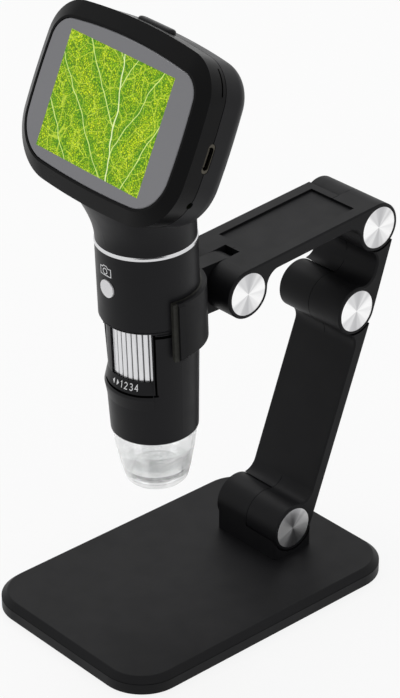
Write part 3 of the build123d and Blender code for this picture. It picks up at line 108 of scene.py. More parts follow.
# %% Helpers for shader nodes and colours
def in_use(sockets, name=None):
    """First socket that the node's settings leave in use, or the one in use with this name."""
    return next(one for one in sockets if one.enabled and name in (None, one.name))


def add(tree, kind, *links, **settings):
    """Adds one node. Settings are the node's own. Each link is an input and what feeds it: a value, another
    node's output, or a whole node, which then gives its first output."""
    made = tree.nodes.new("ShaderNode" + kind)
    for name, value in settings.items():
        setattr(made, name, value)
    for place, value in links:
        entry = made.inputs[place] if isinstance(place, int) else in_use(made.inputs, place)
        source = in_use(value.outputs) if isinstance(value, bpy.types.Node) else value
        if isinstance(source, bpy.types.NodeSocket):
            tree.links.new(source, entry)
        else:
            entry.default_value = source
    return made


def linear(code):
    """Colour of a hex code as the linear values that shaders work with."""
    parts = [int(code[i:i + 2], 16) / 255 for i in (1, 3, 5)]
    return (*[c / 12.92 if c <= 0.04045 else ((c + 0.055) / 1.055) ** 2.4 for c in parts], 1)


print("mid grey:", [round(c, 3) for c in linear("#808080")])


# %% The white surround
def looked_at(tree):
    """1 where the camera looks, also by gloss or through something clear, and 0 where light only falls."""
    path = add(tree, "LightPath")
    by_gloss = add(tree, "Math", (0, path.outputs["Is Camera Ray"]), (1, path.outputs["Is Glossy Ray"]),
                   operation="MAXIMUM")
    return add(tree, "Math", (0, by_gloss), (1, path.outputs["Is Transmission Ray"]), operation="MAXIMUM")


SURROUND_LIGHT = 0.50
world = bpy.data.worlds.new("studio")
world.use_nodes = True
scene.world = world
scene.view_settings.view_transform = "Standard"
tree = world.node_tree
tree.nodes.clear()
seen = add(tree, "Background", ("Color", linear("#FFFFFF")), ("Strength", 1.0))
light = add(tree, "Background", ("Color", linear("#FFFFFF")), ("Strength", SURROUND_LIGHT))
both = add(tree, "MixShader", (0, looked_at(tree)), (1, light), (2, seen))
add(tree, "OutputWorld", ("Surface", both))
print("surround lights matt surfaces at", SURROUND_LIGHT)

# %% The soft boxes
LAMP_AIM = Vector((0, 0, 0.12))


def soft_box(name, place, size, power):
    """Square area lamp aimed at the middle of the object."""
    lamp = bpy.data.lights.new(name, "AREA")
    lamp.size = size
    lamp.energy = power
    made = bpy.data.objects.new(name, lamp)
    made.location = place
    made.rotation_mode = "QUATERNION"
    made.rotation_quaternion = (LAMP_AIM - made.location).to_track_quat("-Z", "Y")
    scene.collection.objects.link(made)
    return made


key = soft_box("key_box", place=(-0.45, 0.35, 1.35), size=0.9, power=7.0)
fill = soft_box("fill_box", place=(1.3, -0.2, 0.7), size=0.9, power=1.3)
print("lamps, W:", key.data.energy, fill.data.energy)

# %% [markdown]
# ## Materials
#
# Each finish starts from what the real one is: the plastic or metal, and how its surface was made. One helper
# opens a material and another closes it. Between the two, every finish is written out by itself, so that its
# grain, its sheen and its small variations can be read in one place. A noise or cell pattern takes a scale of
# one over the size of its lumps, in metres.


# %% Open and close a material
def new_material(name):
    """Empty material and its node tree, with the object's own coordinates in metres."""
    made = bpy.data.materials.new(name)
    made.use_nodes = True
    made.node_tree.nodes.clear()
    place = add(made.node_tree, "TexCoord")
    return made, made.node_tree, place.outputs["Object"]


def surface(tree, *links):
    """Principled shader with its inputs, wired to the output."""
    add(tree, "OutputMaterial", ("Surface", add(tree, "BsdfPrincipled", *links)))


print("a 0.5 mm lump is a noise scale of", 1 / (0.5 * MM))

# %% [markdown]
# ### Black moulded plastics
#
# The stand and the case are black ABS. Its mould is spark-eroded, which leaves a fine satin grain: up close
# the surface is a field of soft pits under half a millimetre wide, and from further away it is a smooth dark
# sheen. Fingers polish such a surface in patches. So there are three layers: a grain that only bends the
# light, a slow cloud that varies the gloss, and a very small shift of the colour. The grain is drawn near
# 0.5 mm, coarser than the real 0.1 mm, because a finer one can't be seen at this distance. The pieces inside
# are acetal, which is greyer and a little waxy.

# %% Black ABS, satin and smoother, and black acetal
CLOUD_ACROSS, PATCH_ACROSS = 28 * MM, 9 * MM


def black_plastic(name, deep, pale, gloss, dull, grain, depth, level):
    """Moulded black plastic. Deep and pale are its colours, gloss and dull its roughness, grain and depth
    its pits' size, and level how strongly it mirrors."""
    made, tree, place = new_material(name)
    cloud = add(tree, "TexNoise", ("Vector", place), ("Scale", 1 / CLOUD_ACROSS), ("Detail", 3.0))
    colour = add(tree, "Mix", ("Factor", cloud), ("A", linear(deep)), ("B", linear(pale)), data_type="RGBA")
    patches = add(tree, "TexNoise", ("Vector", place), ("Scale", 1 / PATCH_ACROSS), ("Detail", 5.0))
    rough = add(tree, "MapRange", ("Value", patches), ("From Min", 0.3), ("From Max", 0.7), ("To Min", gloss),
                ("To Max", dull))
    pits = add(tree, "TexNoise", ("Vector", place), ("Scale", 1 / grain), ("Detail", 2.0))
    bump = add(tree, "Bump", ("Height", pits), ("Strength", 1.0), ("Distance", depth))
    surface(tree, ("Base Color", colour), ("Roughness", rough), ("Specular IOR Level", level),
            ("Normal", bump))
    return made


stand_abs = black_plastic("satin_black_ABS", "#0F0F10", "#18181A", gloss=0.42, dull=0.52,
                          grain=0.5 * MM, depth=0.006 * MM, level=0.12)
case_abs = black_plastic("fine_satin_black_ABS", "#161618", "#1C1C1E", gloss=0.34, dull=0.44,
                         grain=0.35 * MM, depth=0.003 * MM, level=0.13)
bezel_abs = black_plastic("semi_gloss_black_ABS", "#060607", "#0A0A0B", gloss=0.26, dull=0.34,
                          grain=0.30 * MM, depth=0.002 * MM, level=0.08)
inner_acetal = black_plastic("plain_black_acetal", "#1B1B1C", "#262627", gloss=0.38, dull=0.50,
                             grain=0.60 * MM, depth=0.004 * MM, level=0.30)
print("black plastics:", stand_abs.name, case_abs.name, bezel_abs.name, inner_acetal.name)

# %% [markdown]
# ### Rubbers
#
# The clip is lined with silicone rubber, dull and a little olive, and it catches dust. The pad under the base
# is closed-cell foam, cut from sheet: hundreds of small round cells show on its skin. A cell pattern suits
# foam better than noise, because its pits have rims.

# %% Silicone lining
silicone, tree, place = new_material("matt_olive_silicone")
specks = add(tree, "TexNoise", ("Vector", place), ("Scale", 1 / (2.5 * MM)), ("Detail", 6.0))
dust = add(tree, "MapRange", ("Value", specks), ("From Min", 0.45), ("From Max", 0.8))
colour = add(tree, "Mix", ("Factor", dust), ("A", linear("#1D1D19")), ("B", linear("#2E2E28")),
             data_type="RGBA")
grain = add(tree, "TexNoise", ("Vector", place), ("Scale", 1 / (0.6 * MM)), ("Detail", 3.0))
bump = add(tree, "Bump", ("Height", grain), ("Distance", 0.02 * MM))
surface(tree, ("Base Color", colour), ("Roughness", 0.62), ("Specular IOR Level", 0.3), ("Normal", bump))
print("lining:", silicone.name)

# %% Foam pad
foam, tree, place = new_material("closed_cell_foam")
cells = add(tree, "TexVoronoi", ("Vector", place), ("Scale", 1 / (0.9 * MM)), feature="SMOOTH_F1")
colour = add(tree, "Mix", ("Factor", cells), ("A", linear("#101011")), ("B", linear("#262628")),
             data_type="RGBA")
bump = add(tree, "Bump", ("Height", cells), ("Distance", 0.12 * MM))
surface(tree, ("Base Color", colour), ("Roughness", 0.85), ("Specular IOR Level", 0.2), ("Normal", bump))
print("pad:", foam.name)

# %% [markdown]
# ### Spun hinge discs
#
# Each hinge ends in an aluminium disc that was faced on a lathe. The tool leaves a fine spiral, and the
# spiral spreads every highlight into a fan that runs out from the centre. Two things make that: an
# anisotropic highlight whose direction runs round the disc, and a painted reflection: the colour grows
# lighter and darker with the angle about the centre, where the fans of light would fall. The object's
# generated coordinates run from 0 to 1 across each disc, so one material fits all eight. The real spiral
# is 0.05 mm apart, and it is drawn at 0.3 mm, because a finer one can't be seen.

# %% Faced aluminium
DISC_ACROSS, DRAWN_SPIRAL = 16.6, 0.3
PAINTED_FAN_LOBES, PAINTED_FAN_TURN, PAINTED_FAN_SHARE = 2.0, 0.5, 0.26
disc_metal, tree, place = new_material("lathe_faced_aluminium")
coordinates = add(tree, "TexCoord")
centred = add(tree, "VectorMath", (0, coordinates.outputs["Generated"]), (1, (0.5, 0.5, 0.5)),
              operation="SUBTRACT")
axes = add(tree, "SeparateXYZ", ("Vector", centred))
# Painted reflection: the fans of light are drawn into the colour by the angle about the disc's centre.
angle = add(tree, "Math", (0, axes.outputs["Z"]), (1, axes.outputs["Y"]), operation="ARCTAN2")
lobes = add(tree, "Math", (0, angle), (1, PAINTED_FAN_LOBES), (2, PAINTED_FAN_TURN), operation="MULTIPLY_ADD")
painted_fan = add(tree, "Math", (0, lobes), operation="COSINE")
streaks = add(tree, "TexNoise", ("W", angle), ("Scale", 1.6), ("Detail", 1.5), noise_dimensions="1D")
mixed = add(tree, "Math", (0, painted_fan), (1, PAINTED_FAN_SHARE), (2, streaks), operation="MULTIPLY_ADD")
painted_fan_light = add(tree, "MapRange", ("Value", mixed), ("From Min", 0.10), ("From Max", 0.80),
            interpolation_type="SMOOTHSTEP")
colour = add(tree, "Mix", ("Factor", painted_fan_light), ("A", linear("#BFBFC1")), ("B", linear("#FFFFFF")),
             data_type="RGBA")
radius = add(tree, "VectorMath", (0, centred), operation="LENGTH")
spiral = add(tree, "Math", (0, radius), (1, 2 * pi * DISC_ACROSS / DRAWN_SPIRAL), operation="MULTIPLY")
ridges = add(tree, "Math", (0, spiral), operation="SINE")
bump = add(tree, "Bump", ("Height", ridges), ("Strength", 0.5), ("Distance", 0.004 * MM))
round_about = add(tree, "Tangent", direction_type="RADIAL", axis="X")
surface(tree, ("Base Color", colour), ("Metallic", 1.0), ("Roughness", 0.30), ("Anisotropic", 0.7),
        ("Tangent", round_about), ("Normal", bump))
print("discs:", disc_metal.name)

# %% [markdown]
# ### Other bright parts
#
# The trim ring is satin chrome, the focus wheel is ABS with a silver metal coat, and the snapshot button is
# painted silver. They look alike at a glance and differ in grain: chrome is smooth and only clouds slowly,
# the metal coat keeps the draw lines of its mould along the flutes, and silver paint has flakes. Little light
# reaches down into the wheel's flutes, so their shade is painted: the shader measures how far each point lies
# from the barrel's axis, and fades from painted dark at the flute's floor to silver at its edge.

# %% Satin chrome, silver coat and silver paint
# Radii in millimetres over which the painted shade in the flutes gives way to silver.
FLUTE_SHADE, LAND_START = 15.06, 15.18
DRAW_LINE_STRETCH = 20
chrome, tree, place = new_material("satin_chrome")
cloud = add(tree, "TexNoise", ("Vector", place), ("Scale", 1 / (3 * MM)), ("Detail", 3.0))
rough = add(tree, "MapRange", ("Value", cloud), ("To Min", 0.16), ("To Max", 0.30))
surface(tree, ("Base Color", linear("#D6D6D8")), ("Metallic", 1.0), ("Roughness", rough))

coated, tree, place = new_material("vacuum_metallised_ABS")
in_barrel = add(tree, "Mapping", ("Vector", place), ("Location", BARREL.translation),
                ("Rotation", BARREL.to_euler()), vector_type="TEXTURE")
along = add(tree, "Mapping", ("Vector", in_barrel), ("Scale", (1, 1, 1 / DRAW_LINE_STRETCH)))
lines = add(tree, "TexNoise", ("Vector", along), ("Scale", 1 / (0.4 * MM)), ("Detail", 3.0))
rough = add(tree, "MapRange", ("Value", lines), ("To Min", 0.22), ("To Max", 0.38))
silver = add(tree, "Mix", ("Factor", lines), ("A", linear("#D2D2D4")), ("B", linear("#EEEEF0")),
             data_type="RGBA")
across = add(tree, "VectorMath", (0, in_barrel), (1, (1, 1, 0)), operation="MULTIPLY")
from_axis = add(tree, "VectorMath", (0, across), operation="LENGTH")
# Painted shade: dark at the flute's floor, silver out on the land.
out_of_flute_shade = add(tree, "MapRange", ("Value", from_axis), ("From Min", FLUTE_SHADE * MM),
              ("From Max", LAND_START * MM))
colour = add(tree, "Mix", ("Factor", out_of_flute_shade), ("A", linear("#1C1C1E")), ("B", silver), data_type="RGBA")
bump = add(tree, "Bump", ("Height", lines), ("Distance", 0.004 * MM))
surface(tree, ("Base Color", colour), ("Metallic", 0.9), ("Roughness", rough), ("Normal", bump))

silver_paint, tree, place = new_material("silver_satin_paint")
flakes = add(tree, "TexVoronoi", ("Vector", place), ("Scale", 1 / (0.25 * MM)))
colour = add(tree, "Mix", ("Factor", flakes), ("A", linear("#F6F6F7")), ("B", linear("#E6E6E8")),
             data_type="RGBA")
surface(tree, ("Base Color", colour), ("Metallic", 0.30), ("Roughness", 0.36))
print("bright parts:", chrome.name, coated.name, silver_paint.name)

# %% [markdown]
# ### Steels inside the hinges
#
# Pins, nuts and washers are zinc plated: a bluish grey with faint crystals. The ballast is hot-rolled plate
# with long rolling marks, the case screws have black zinc, and the sockets are stamped from nickel-plated
# strip.

# %% Plated and rolled steels
PLATE_CLOUDING = 0.15


def plated(name, deep, pale, roughness, crystal, stretch=1.0):
    """Plated steel. Crystal is the size of its mottle, and stretch draws it out along Y as rolling does."""
    made, tree, place = new_material(name)
    drawn = add(tree, "Mapping", ("Vector", place), ("Scale", (1, 1 / stretch, 1)))
    mottle = add(tree, "TexNoise", ("Vector", drawn), ("Scale", 1 / crystal), ("Detail", 4.0))
    colour = add(tree, "Mix", ("Factor", mottle), ("A", linear(deep)), ("B", linear(pale)), data_type="RGBA")
    rough = add(tree, "MapRange", ("Value", mottle), ("To Min", roughness),
                ("To Max", roughness + PLATE_CLOUDING))
    surface(tree, ("Base Color", colour), ("Metallic", 1.0), ("Roughness", rough))
    return made


zinc = plated("zinc_plated_steel", "#9A9CA2", "#C2C4C8", roughness=0.28, crystal=0.8 * MM)
rolled = plated("hot_rolled_steel", "#7E7E80", "#A6A6A6", roughness=0.38, crystal=1.5 * MM, stretch=12)
black_zinc = plated("black_zinc_steel", "#2A2A2C", "#4A4A4C", roughness=0.34, crystal=0.5 * MM)
nickel = plated("nickel_plated_strip", "#45423B", "#5C5850", roughness=0.34, crystal=0.6 * MM)
print("steels:", zinc.name, rolled.name, black_zinc.name, nickel.name)

# %% [markdown]
# ### Electronics
#
# The boards are glass-epoxy laminate under green solder mask, with copper runs that show as a paler green
# grid. A brick pattern gives such a grid for the price of one node. Chips are black epoxy, the battery is an
# aluminium pouch with soft creases, the flat cables are amber polyimide, and the lamps are yellow phosphor in
# clear resin.

# %% Boards and chips
board, tree, place = new_material("green_solder_mask")
runs = add(tree, "TexBrick", ("Vector", place), ("Color1", linear("#0C4A2A")), ("Color2", linear("#0F5632")),
           ("Mortar", linear("#2E8A55")), ("Scale", 1 / (4 * MM)), ("Mortar Size", 0.03))
surface(tree, ("Base Color", runs), ("Roughness", 0.32), ("Coat Weight", 0.3))

chip, tree, place = new_material("moulded_epoxy")
cloud = add(tree, "TexNoise", ("Vector", place), ("Scale", 1 / (0.5 * MM)), ("Detail", 3.0))
colour = add(tree, "Mix", ("Factor", cloud), ("A", linear("#121216")), ("B", linear("#1F1F24")),
             data_type="RGBA")
surface(tree, ("Base Color", colour), ("Roughness", 0.4))
print("on the boards:", board.name, chip.name)

# %% Battery, cable and lamps
pouch, tree, place = new_material("aluminium_laminate_pouch")
creases = add(tree, "TexNoise", ("Vector", place), ("Scale", 1 / (4 * MM)), ("Detail", 5.0))
bump = add(tree, "Bump", ("Height", creases), ("Distance", 0.2 * MM))
colour = add(tree, "Mix", ("Factor", creases), ("A", linear("#9FA0A3")), ("B", linear("#C6C7C9")),
             data_type="RGBA")
surface(tree, ("Base Color", colour), ("Metallic", 0.9), ("Roughness", 0.34), ("Normal", bump))

polyimide, tree, place = new_material("amber_polyimide")
tracks = add(tree, "TexWave", ("Vector", place), ("Scale", 1 / (1.6 * MM)), ("Distortion", 0.0))
colour = add(tree, "Mix", ("Factor", tracks.outputs["Fac"]), ("A", linear("#A8631C")),
             ("B", linear("#C98632")), data_type="RGBA")
surface(tree, ("Base Color", colour), ("Roughness", 0.3), ("Coat Weight", 0.4))

lamp_resin, tree, place = new_material("phosphor_in_clear_resin")
grains = add(tree, "TexNoise", ("Vector", place), ("Scale", 1 / (1.2 * MM)), ("Detail", 3.0))
colour = add(tree, "Mix", ("Factor", grains), ("A", linear("#F3EBCB")), ("B", linear("#F7D975")),
             data_type="RGBA")
surface(tree, ("Base Color", colour), ("Roughness", 0.2), ("Coat Weight", 1.0))
print("beside the boards:", pouch.name, polyimide.name, lamp_resin.name)

# %% [markdown]
# ### Clear parts
#
# The cap is moulded from clear polycarbonate, IOR 1.585, and the lens is ground glass, IOR 1.52. Clear
# plastic is never perfectly flat: slow flow waves from the mould bend what is seen through it. A faint bump
# does that. Two nested clear walls throw many dark reflections of the barrel into each other, more than such
# thin plastic shows, so a part of the cap is simply seen through: its alpha is under two thirds.

# %% Polycarbonate and lens glass
polycarbonate, tree, place = new_material("clear_polycarbonate")
waves = add(tree, "TexNoise", ("Vector", place), ("Scale", 1 / (6 * MM)), ("Detail", 1.0))
bump = add(tree, "Bump", ("Height", waves), ("Distance", 0.05 * MM))
surface(tree, ("Base Color", linear("#FBFCFC")), ("Roughness", 0.03), ("IOR", 1.585),
        ("Transmission Weight", 1.0), ("Alpha", 0.62), ("Normal", bump))

optical, tree, place = new_material("ground_optical_glass")
coating = add(tree, "TexNoise", ("Vector", place), ("Scale", 1 / (8 * MM)), ("Detail", 3.0))
tint = add(tree, "Mix", ("Factor", coating), ("A", linear("#F0F6F4")), ("B", linear("#E6F2F6")),
           data_type="RGBA")
surface(tree, ("Base Color", tint), ("Roughness", 0.01), ("IOR", 1.52), ("Transmission Weight", 1.0))
print("clear parts:", polycarbonate.name, optical.name)

# %% [markdown]
# ### The lit screen
#
# The screen shows what a microscope is bought for: a green leaf, lit from behind. The picture is grown from
# distances. The head's own coordinates are turned so that one axis runs along a midrib; side veins leave it
# at a slant on both sides, and their distance is a folded straight line. A coarse cell pattern gives the
# smaller veins, and a fine one the leaf's cells, bright yellow green with dark walls. Everything is bent by
# slow noise first, because nothing in a leaf is straight. Beside the big veins the green is deeper. Around
# the picture the cover glass is back-printed with grey ink, and the print is part of the glass.

# %% Where a point lies on the screen, and how far from the veins
MIDRIB_TURN = radians(12)
MIDRIB_PLACE = (6.0, -4.0, 0.0)
SIDE_VEIN_SPACING, SIDE_VEIN_SLANT = 23.0, 1.5
SIDE_VEIN_STAGGER = 0.4 * SIDE_VEIN_SPACING
SLANT_SHARE = 0.6  # straight distance from a slanted vein, as a share of the distance along the midrib


def screen_position(tree, place):
    """The object's coordinates in millimetres across, up and out of the screen."""
    return add(tree, "Mapping", ("Vector", place), ("Location", HEAD.translation),
               ("Rotation", HEAD.to_euler()), ("Scale", (MM, MM, MM)), vector_type="TEXTURE")


def vein_distances(tree, bent):
    """Distance from the midrib, and from the nearest side vein measured along the midrib, in millimetres."""
    turned = add(tree, "Mapping", ("Vector", bent), ("Location", MIDRIB_PLACE),
                 ("Rotation", (0, 0, MIDRIB_TURN)), vector_type="TEXTURE")
    axes = add(tree, "SeparateXYZ", ("Vector", turned))
    side = add(tree, "Math", (0, axes.outputs["X"]), operation="ABSOLUTE")
    right_half = add(tree, "Math", (0, axes.outputs["X"]), (1, 0.0), operation="GREATER_THAN")
    staggered = add(tree, "Math", (0, right_half), (1, SIDE_VEIN_STAGGER), (2, axes.outputs["Y"]),
                    operation="MULTIPLY_ADD")
    slanted = add(tree, "Math", (0, side), (1, -SIDE_VEIN_SLANT), (2, staggered), operation="MULTIPLY_ADD")
    return side, add(tree, "Math", (0, slanted), (1, SIDE_VEIN_SPACING / 2), operation="PINGPONG")


print("side veins every", SIDE_VEIN_SPACING, "mm")

# %% Leaf picture, from the cells up to the midrib
CELL_SIZE, SMALL_VEIN_MESH = 0.80, 5.5
CLOUD_SIZE, BEND_SIZE = 14, 16
BEND = (6.0, 6.0, 0.0)
CELL_TONE, CLOUD_TONE = 0.40, 0.75


def lined(tree, colour, distance, core, rim, strength, code):
    """A colour with a line drawn over it: full up to core from the line's middle, and gone at rim."""
    near = add(tree, "MapRange", ("Value", distance), ("From Min", core), ("From Max", rim), ("To Min", 1.0),
               ("To Max", 0.0), interpolation_type="SMOOTHSTEP")
    share = add(tree, "Math", (0, near), (1, strength), operation="MULTIPLY")
    return add(tree, "Mix", ("Factor", share), ("A", colour), ("B", linear(code)), data_type="RGBA")


def leaf_flesh(tree, flat):
    """Colour of the leaf between its veins: cells of yellow green with dark olive walls."""
    cell = add(tree, "TexVoronoi", ("Vector", flat), ("Scale", 1 / CELL_SIZE))
    wall = add(tree, "TexVoronoi", ("Vector", flat), ("Scale", 1 / CELL_SIZE), feature="DISTANCE_TO_EDGE")
    cell_tone = add(tree, "SeparateColor", ("Color", cell.outputs["Color"]))
    cloud = add(tree, "TexNoise", ("Vector", flat), ("Scale", 1 / CLOUD_SIZE), ("Detail", 3.0))
    cloud_tone = add(tree, "Math", (0, cloud), (1, CLOUD_TONE), operation="MULTIPLY")
    tone = add(tree, "Math", (0, cell_tone), (1, CELL_TONE), (2, cloud_tone), operation="MULTIPLY_ADD")
    ramp = add(tree, "ValToRGB", (0, tone))
    stops = ramp.color_ramp.elements
    stops[0].position, stops[0].color = 0.20, linear("#6CA608")
    stops[1].position, stops[1].color = 0.90, linear("#DCEA20")
    middle = stops.new(0.52)
    middle.color = linear("#A6CC12")
    return lined(tree, ramp, wall, core=0.02, rim=0.24, strength=0.90, code="#386A04")


def leaf_picture(tree, position):
    """Colour of a back-lit leaf. Position is in millimetres."""
    wander = add(tree, "TexNoise", ("Vector", position), ("Scale", 1 / BEND_SIZE), ("Detail", 2.0))
    shift = add(tree, "VectorMath", (0, wander.outputs["Color"]), (1, (0.5, 0.5, 0.5)), operation="SUBTRACT")
    bent = add(tree, "VectorMath", (0, shift), (1, BEND), (2, position), operation="MULTIPLY_ADD")
    flat = add(tree, "VectorMath", (0, bent), (1, (1, 1, 0)), operation="MULTIPLY")
    midrib, side_vein = vein_distances(tree, bent)
    mesh = add(tree, "TexVoronoi", ("Vector", flat), ("Scale", 1 / SMALL_VEIN_MESH),
               feature="DISTANCE_TO_EDGE")
    beside = add(tree, "Math", (0, side_vein), (1, SLANT_SHARE), operation="MULTIPLY")
    nearest = add(tree, "Math", (0, midrib), (1, beside), operation="MINIMUM")
    colour = lined(tree, leaf_flesh(tree, flat), nearest, core=0.3, rim=4.0, strength=0.50, code="#24800E")
    colour = lined(tree, colour, mesh, core=0.006, rim=0.036, strength=0.55, code="#D2E648")
    colour = lined(tree, colour, side_vein, core=0.16, rim=0.50, strength=0.85, code="#DDF08C")
    return lined(tree, colour, midrib, core=0.12, rim=0.38, strength=0.9, code="#ECF8B8")


print("leaf cells, mm:", CELL_SIZE)

# %% Cover glass and display
PICTURE_WIDTH, PICTURE_HEIGHT = 56.6, 42.8
PICTURE_RIGHT, PICTURE_UP = -1.05, -0.3


def inside(tree, coordinate, middle, size):
    """1 where a coordinate lies within half a size of the middle, else 0."""
    offset = add(tree, "Math", (0, coordinate), (1, middle), operation="SUBTRACT")
    from_middle = add(tree, "Math", (0, offset), operation="ABSOLUTE")
    return add(tree, "Math", (0, from_middle), (1, size / 2), operation="LESS_THAN")


cover_glass, tree, place = new_material("printed_cover_glass")
position = screen_position(tree, place)
axes = add(tree, "SeparateXYZ", ("Vector", position))
window = add(tree, "Math", (0, inside(tree, axes.outputs["X"], PICTURE_RIGHT, PICTURE_WIDTH)),
             (1, inside(tree, axes.outputs["Y"], PICTURE_UP, PICTURE_HEIGHT)), operation="MULTIPLY")
clouds = add(tree, "TexNoise", ("Vector", place), ("Scale", 1 / (60 * MM)), ("Detail", 1.0))
ink = add(tree, "Mix", ("Factor", clouds), ("A", linear("#8E8E91")), ("B", linear("#99999D")),
          data_type="RGBA")
colour = add(tree, "Mix", ("Factor", window), ("A", ink), ("B", leaf_picture(tree, position)),
             data_type="RGBA")
glow = add(tree, "Mix", ("Factor", window), ("A", linear("#000000")), ("B", colour), data_type="RGBA")
surface(tree, ("Base Color", colour), ("Roughness", 0.08), ("Specular IOR Level", 0.15),
        ("Emission Color", glow), ("Emission Strength", 0.48))

display, tree, place = new_material("lit_display_module")
colour = leaf_picture(tree, screen_position(tree, place))
surface(tree, ("Base Color", colour), ("Roughness", 0.4), ("Emission Color", colour),
        ("Emission Strength", 0.3))
print("picture, mm:", PICTURE_WIDTH, "x", PICTURE_HEIGHT)

# %% [markdown]
# ## Give every solid part its finish
#
# The model names a slot for each part, such as stand_plastic. One table says which finish fills each slot.

# %% Fill the slots
FINISHES = {
    "stand_plastic": stand_abs, "case_plastic": case_abs, "bezel_plastic": bezel_abs,
    "guide_plastic": inner_acetal, "switch_plastic": inner_acetal, "pad_rubber": foam,
    "liner_rubber": silicone, "ballast_steel": rolled, "hinge_steel": zinc, "screw_steel": black_zinc,
    "socket_metal": nickel, "spun_aluminium": disc_metal, "bright_ring": chrome, "wheel_silver": coated,
    "button_silver": silver_paint, "screen_glass": cover_glass, "display": display, "circuit_board": board,
    "chip": chip, "cell_foil": pouch, "lens_glass": optical, "lamp": lamp_resin, "flat_cable": polyimide,
    "clear_plastic": polycarbonate,
}
for part in frame["nodes"].values():
    for place in part.material_slots:
        place.material = FINISHES[place.material.name.split(".")[0]]
print("slots filled:", sum(len(part.material_slots) for part in frame["nodes"].values()))

# %% [markdown]
# ## Printed signs
#
# The barrel carries a camera sign over the snapshot button and small marks under the focus wheel. They are
# pad printed: a film of pale ink a few hundredths of a millimetre thick. A texture could show them, but a
# thin mesh keeps its edges sharp. Each stroke is a strip along a line, wrapped round the barrel by turning
# its distance across into an angle. A ray sent in towards the barrel's axis finds how far out the moulding is
# at that point, and long strokes are divided, because a straight piece of ink would dive under the round
# wall.

# %% The mouldings' outer faces
INK_RISE, INK_SINK = 0.05 * MM, 0.10 * MM
WRAP_RADIUS = 18.0
RAY_START = 40
skins = {node: BVHTree.FromObject(frame["nodes"][node], bpy.context.evaluated_depsgraph_get())
         for node in ("upper_housing", "lower_housing")}


def skin_radius(node, turn, up):
    """Distance from the barrel's axis to a solid's outer face, at an angle and a height."""
    outwards = BARREL.to_3x3() @ Vector((sin(turn), -cos(turn), 0))
    axis_point = BARREL @ Vector((0, 0, up))
    hit = skins[node].ray_cast(axis_point + outwards * RAY_START * MM, -outwards)[0]
    return (hit - axis_point).length


def round_barrel(out, turn, up):
    """Point given by its distance from the barrel's axis, its angle from the front and its height."""
    return BARREL @ Vector((out * sin(turn), -out * cos(turn), up))


def on_skin(node, point, rise):
    """Point on a moulding's face, from millimetres across and up, raised by rise metres."""
    turn = point.x / WRAP_RADIUS
    return round_barrel(skin_radius(node, turn, point.y * MM) + rise, turn, point.y * MM)


print("upper housing radius, mm:", round(skin_radius("upper_housing", 0, 18 * MM) / MM, 2))

# %% Lines divided finely enough to follow a face, and widened to strips
LONGEST_STEP = 0.8
SHARPEST_MITRE = 0.5


def divided(line, closed):
    """The same line in millimetres with more points on its long runs."""
    points = [Vector(p) for p in line]
    fine = []
    for one, two in zip(points, points[1:] + points[:1] if closed else points[1:]):
        steps = int((two - one).length / LONGEST_STEP) + 1
        fine += [one.lerp(two, i / steps) for i in range(steps)]
    return fine if closed else fine + points[-1:]


def strip_sides(line, width, closed):
    """Left and right edge of a strip along a flat line, with mitred corners."""
    sides = []
    count = len(line)
    for i, point in enumerate(line):
        before = line[i - 1] if i or closed else None
        after = line[(i + 1) % count] if i < count - 1 or closed else None
        first = (point - before).normalized() if before is not None else (after - point).normalized()
        second = (after - point).normalized() if after is not None else first
        bisector = (first + second).normalized()
        normal = Vector((-bisector.y, bisector.x))
        reach = width / 2 / max(SHARPEST_MITRE, abs(normal.dot(Vector((-first.y, first.x)))))
        sides.append((point + normal * reach, point - normal * reach))
    return sides


print("strokes have a point every", LONGEST_STEP, "mm or less")


# %% From a mesh to a piece, and from strokes to ink
def mesh_object(name, mesh, material):
    """Puts a finished bmesh into the scene, in one material."""
    data = bpy.data.meshes.new(name)
    mesh.to_mesh(data)
    mesh.free()
    made = bpy.data.objects.new(name, data)
    scene.collection.objects.link(made)
    made.data.materials.append(material)
    return made


def piece(name, mesh, slot, body, finish=None):
    """Turns a finished bmesh into an object that rides on a body and takes a slot's finish, or its own."""
    bmesh.ops.recalc_face_normals(mesh, faces=mesh.faces)
    made = mesh_object(name, mesh, finish or FINISHES[slot])
    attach(made, body)
    print(name, len(made.data.polygons), "faces")
    return made


def printed(name, strokes, width, node, slot, rise=INK_RISE, finish=None):
    """Raised strokes on one of the barrel's mouldings. A stroke is (points in millimetres, closed)."""
    mesh = bmesh.new()
    for line, closed in strokes:
        rings = []
        for left, right in strip_sides(divided(line, closed), width, closed):
            corners = ((left, -INK_SINK), (left, rise), (right, rise), (right, -INK_SINK))
            rings.append([mesh.verts.new(on_skin(node, point, height)) for point, height in corners])
        for i in range(len(rings) if closed else len(rings) - 1):
            one, two = rings[i], rings[(i + 1) % len(rings)]
            for k in range(4):
                mesh.faces.new((one[k], one[(k + 1) % 4], two[(k + 1) % 4], two[k]))
        if not closed:
            mesh.faces.new(rings[0][::-1])
            mesh.faces.new(rings[-1])
    return piece(name, mesh, slot, "microscope", finish)


print("ink stands", INK_RISE / MM, "mm proud")

# %% [markdown]
# The camera sign is an outline: a box with a small hump for the finder and a ring for the lens. It stands
# above the button, 5.6 mm wide. Its ink is the same silver as the button.

# %% The camera sign
SIGN_ACROSS, SIGN_UP = -0.4, 18.2
PRINTED_LINE = 0.30


def arc(centre, radius, start, end, steps):
    """Points along an arc; angles are in degrees."""
    turns = [radians(start + (end - start) * i / steps) for i in range(steps + 1)]
    return [(centre[0] + radius * cos(t), centre[1] + radius * sin(t)) for t in turns]


def placed(points, across, up, scale=1.0):
    """Points scaled and moved."""
    return [(across + x * scale, up + y * scale) for x, y in points]


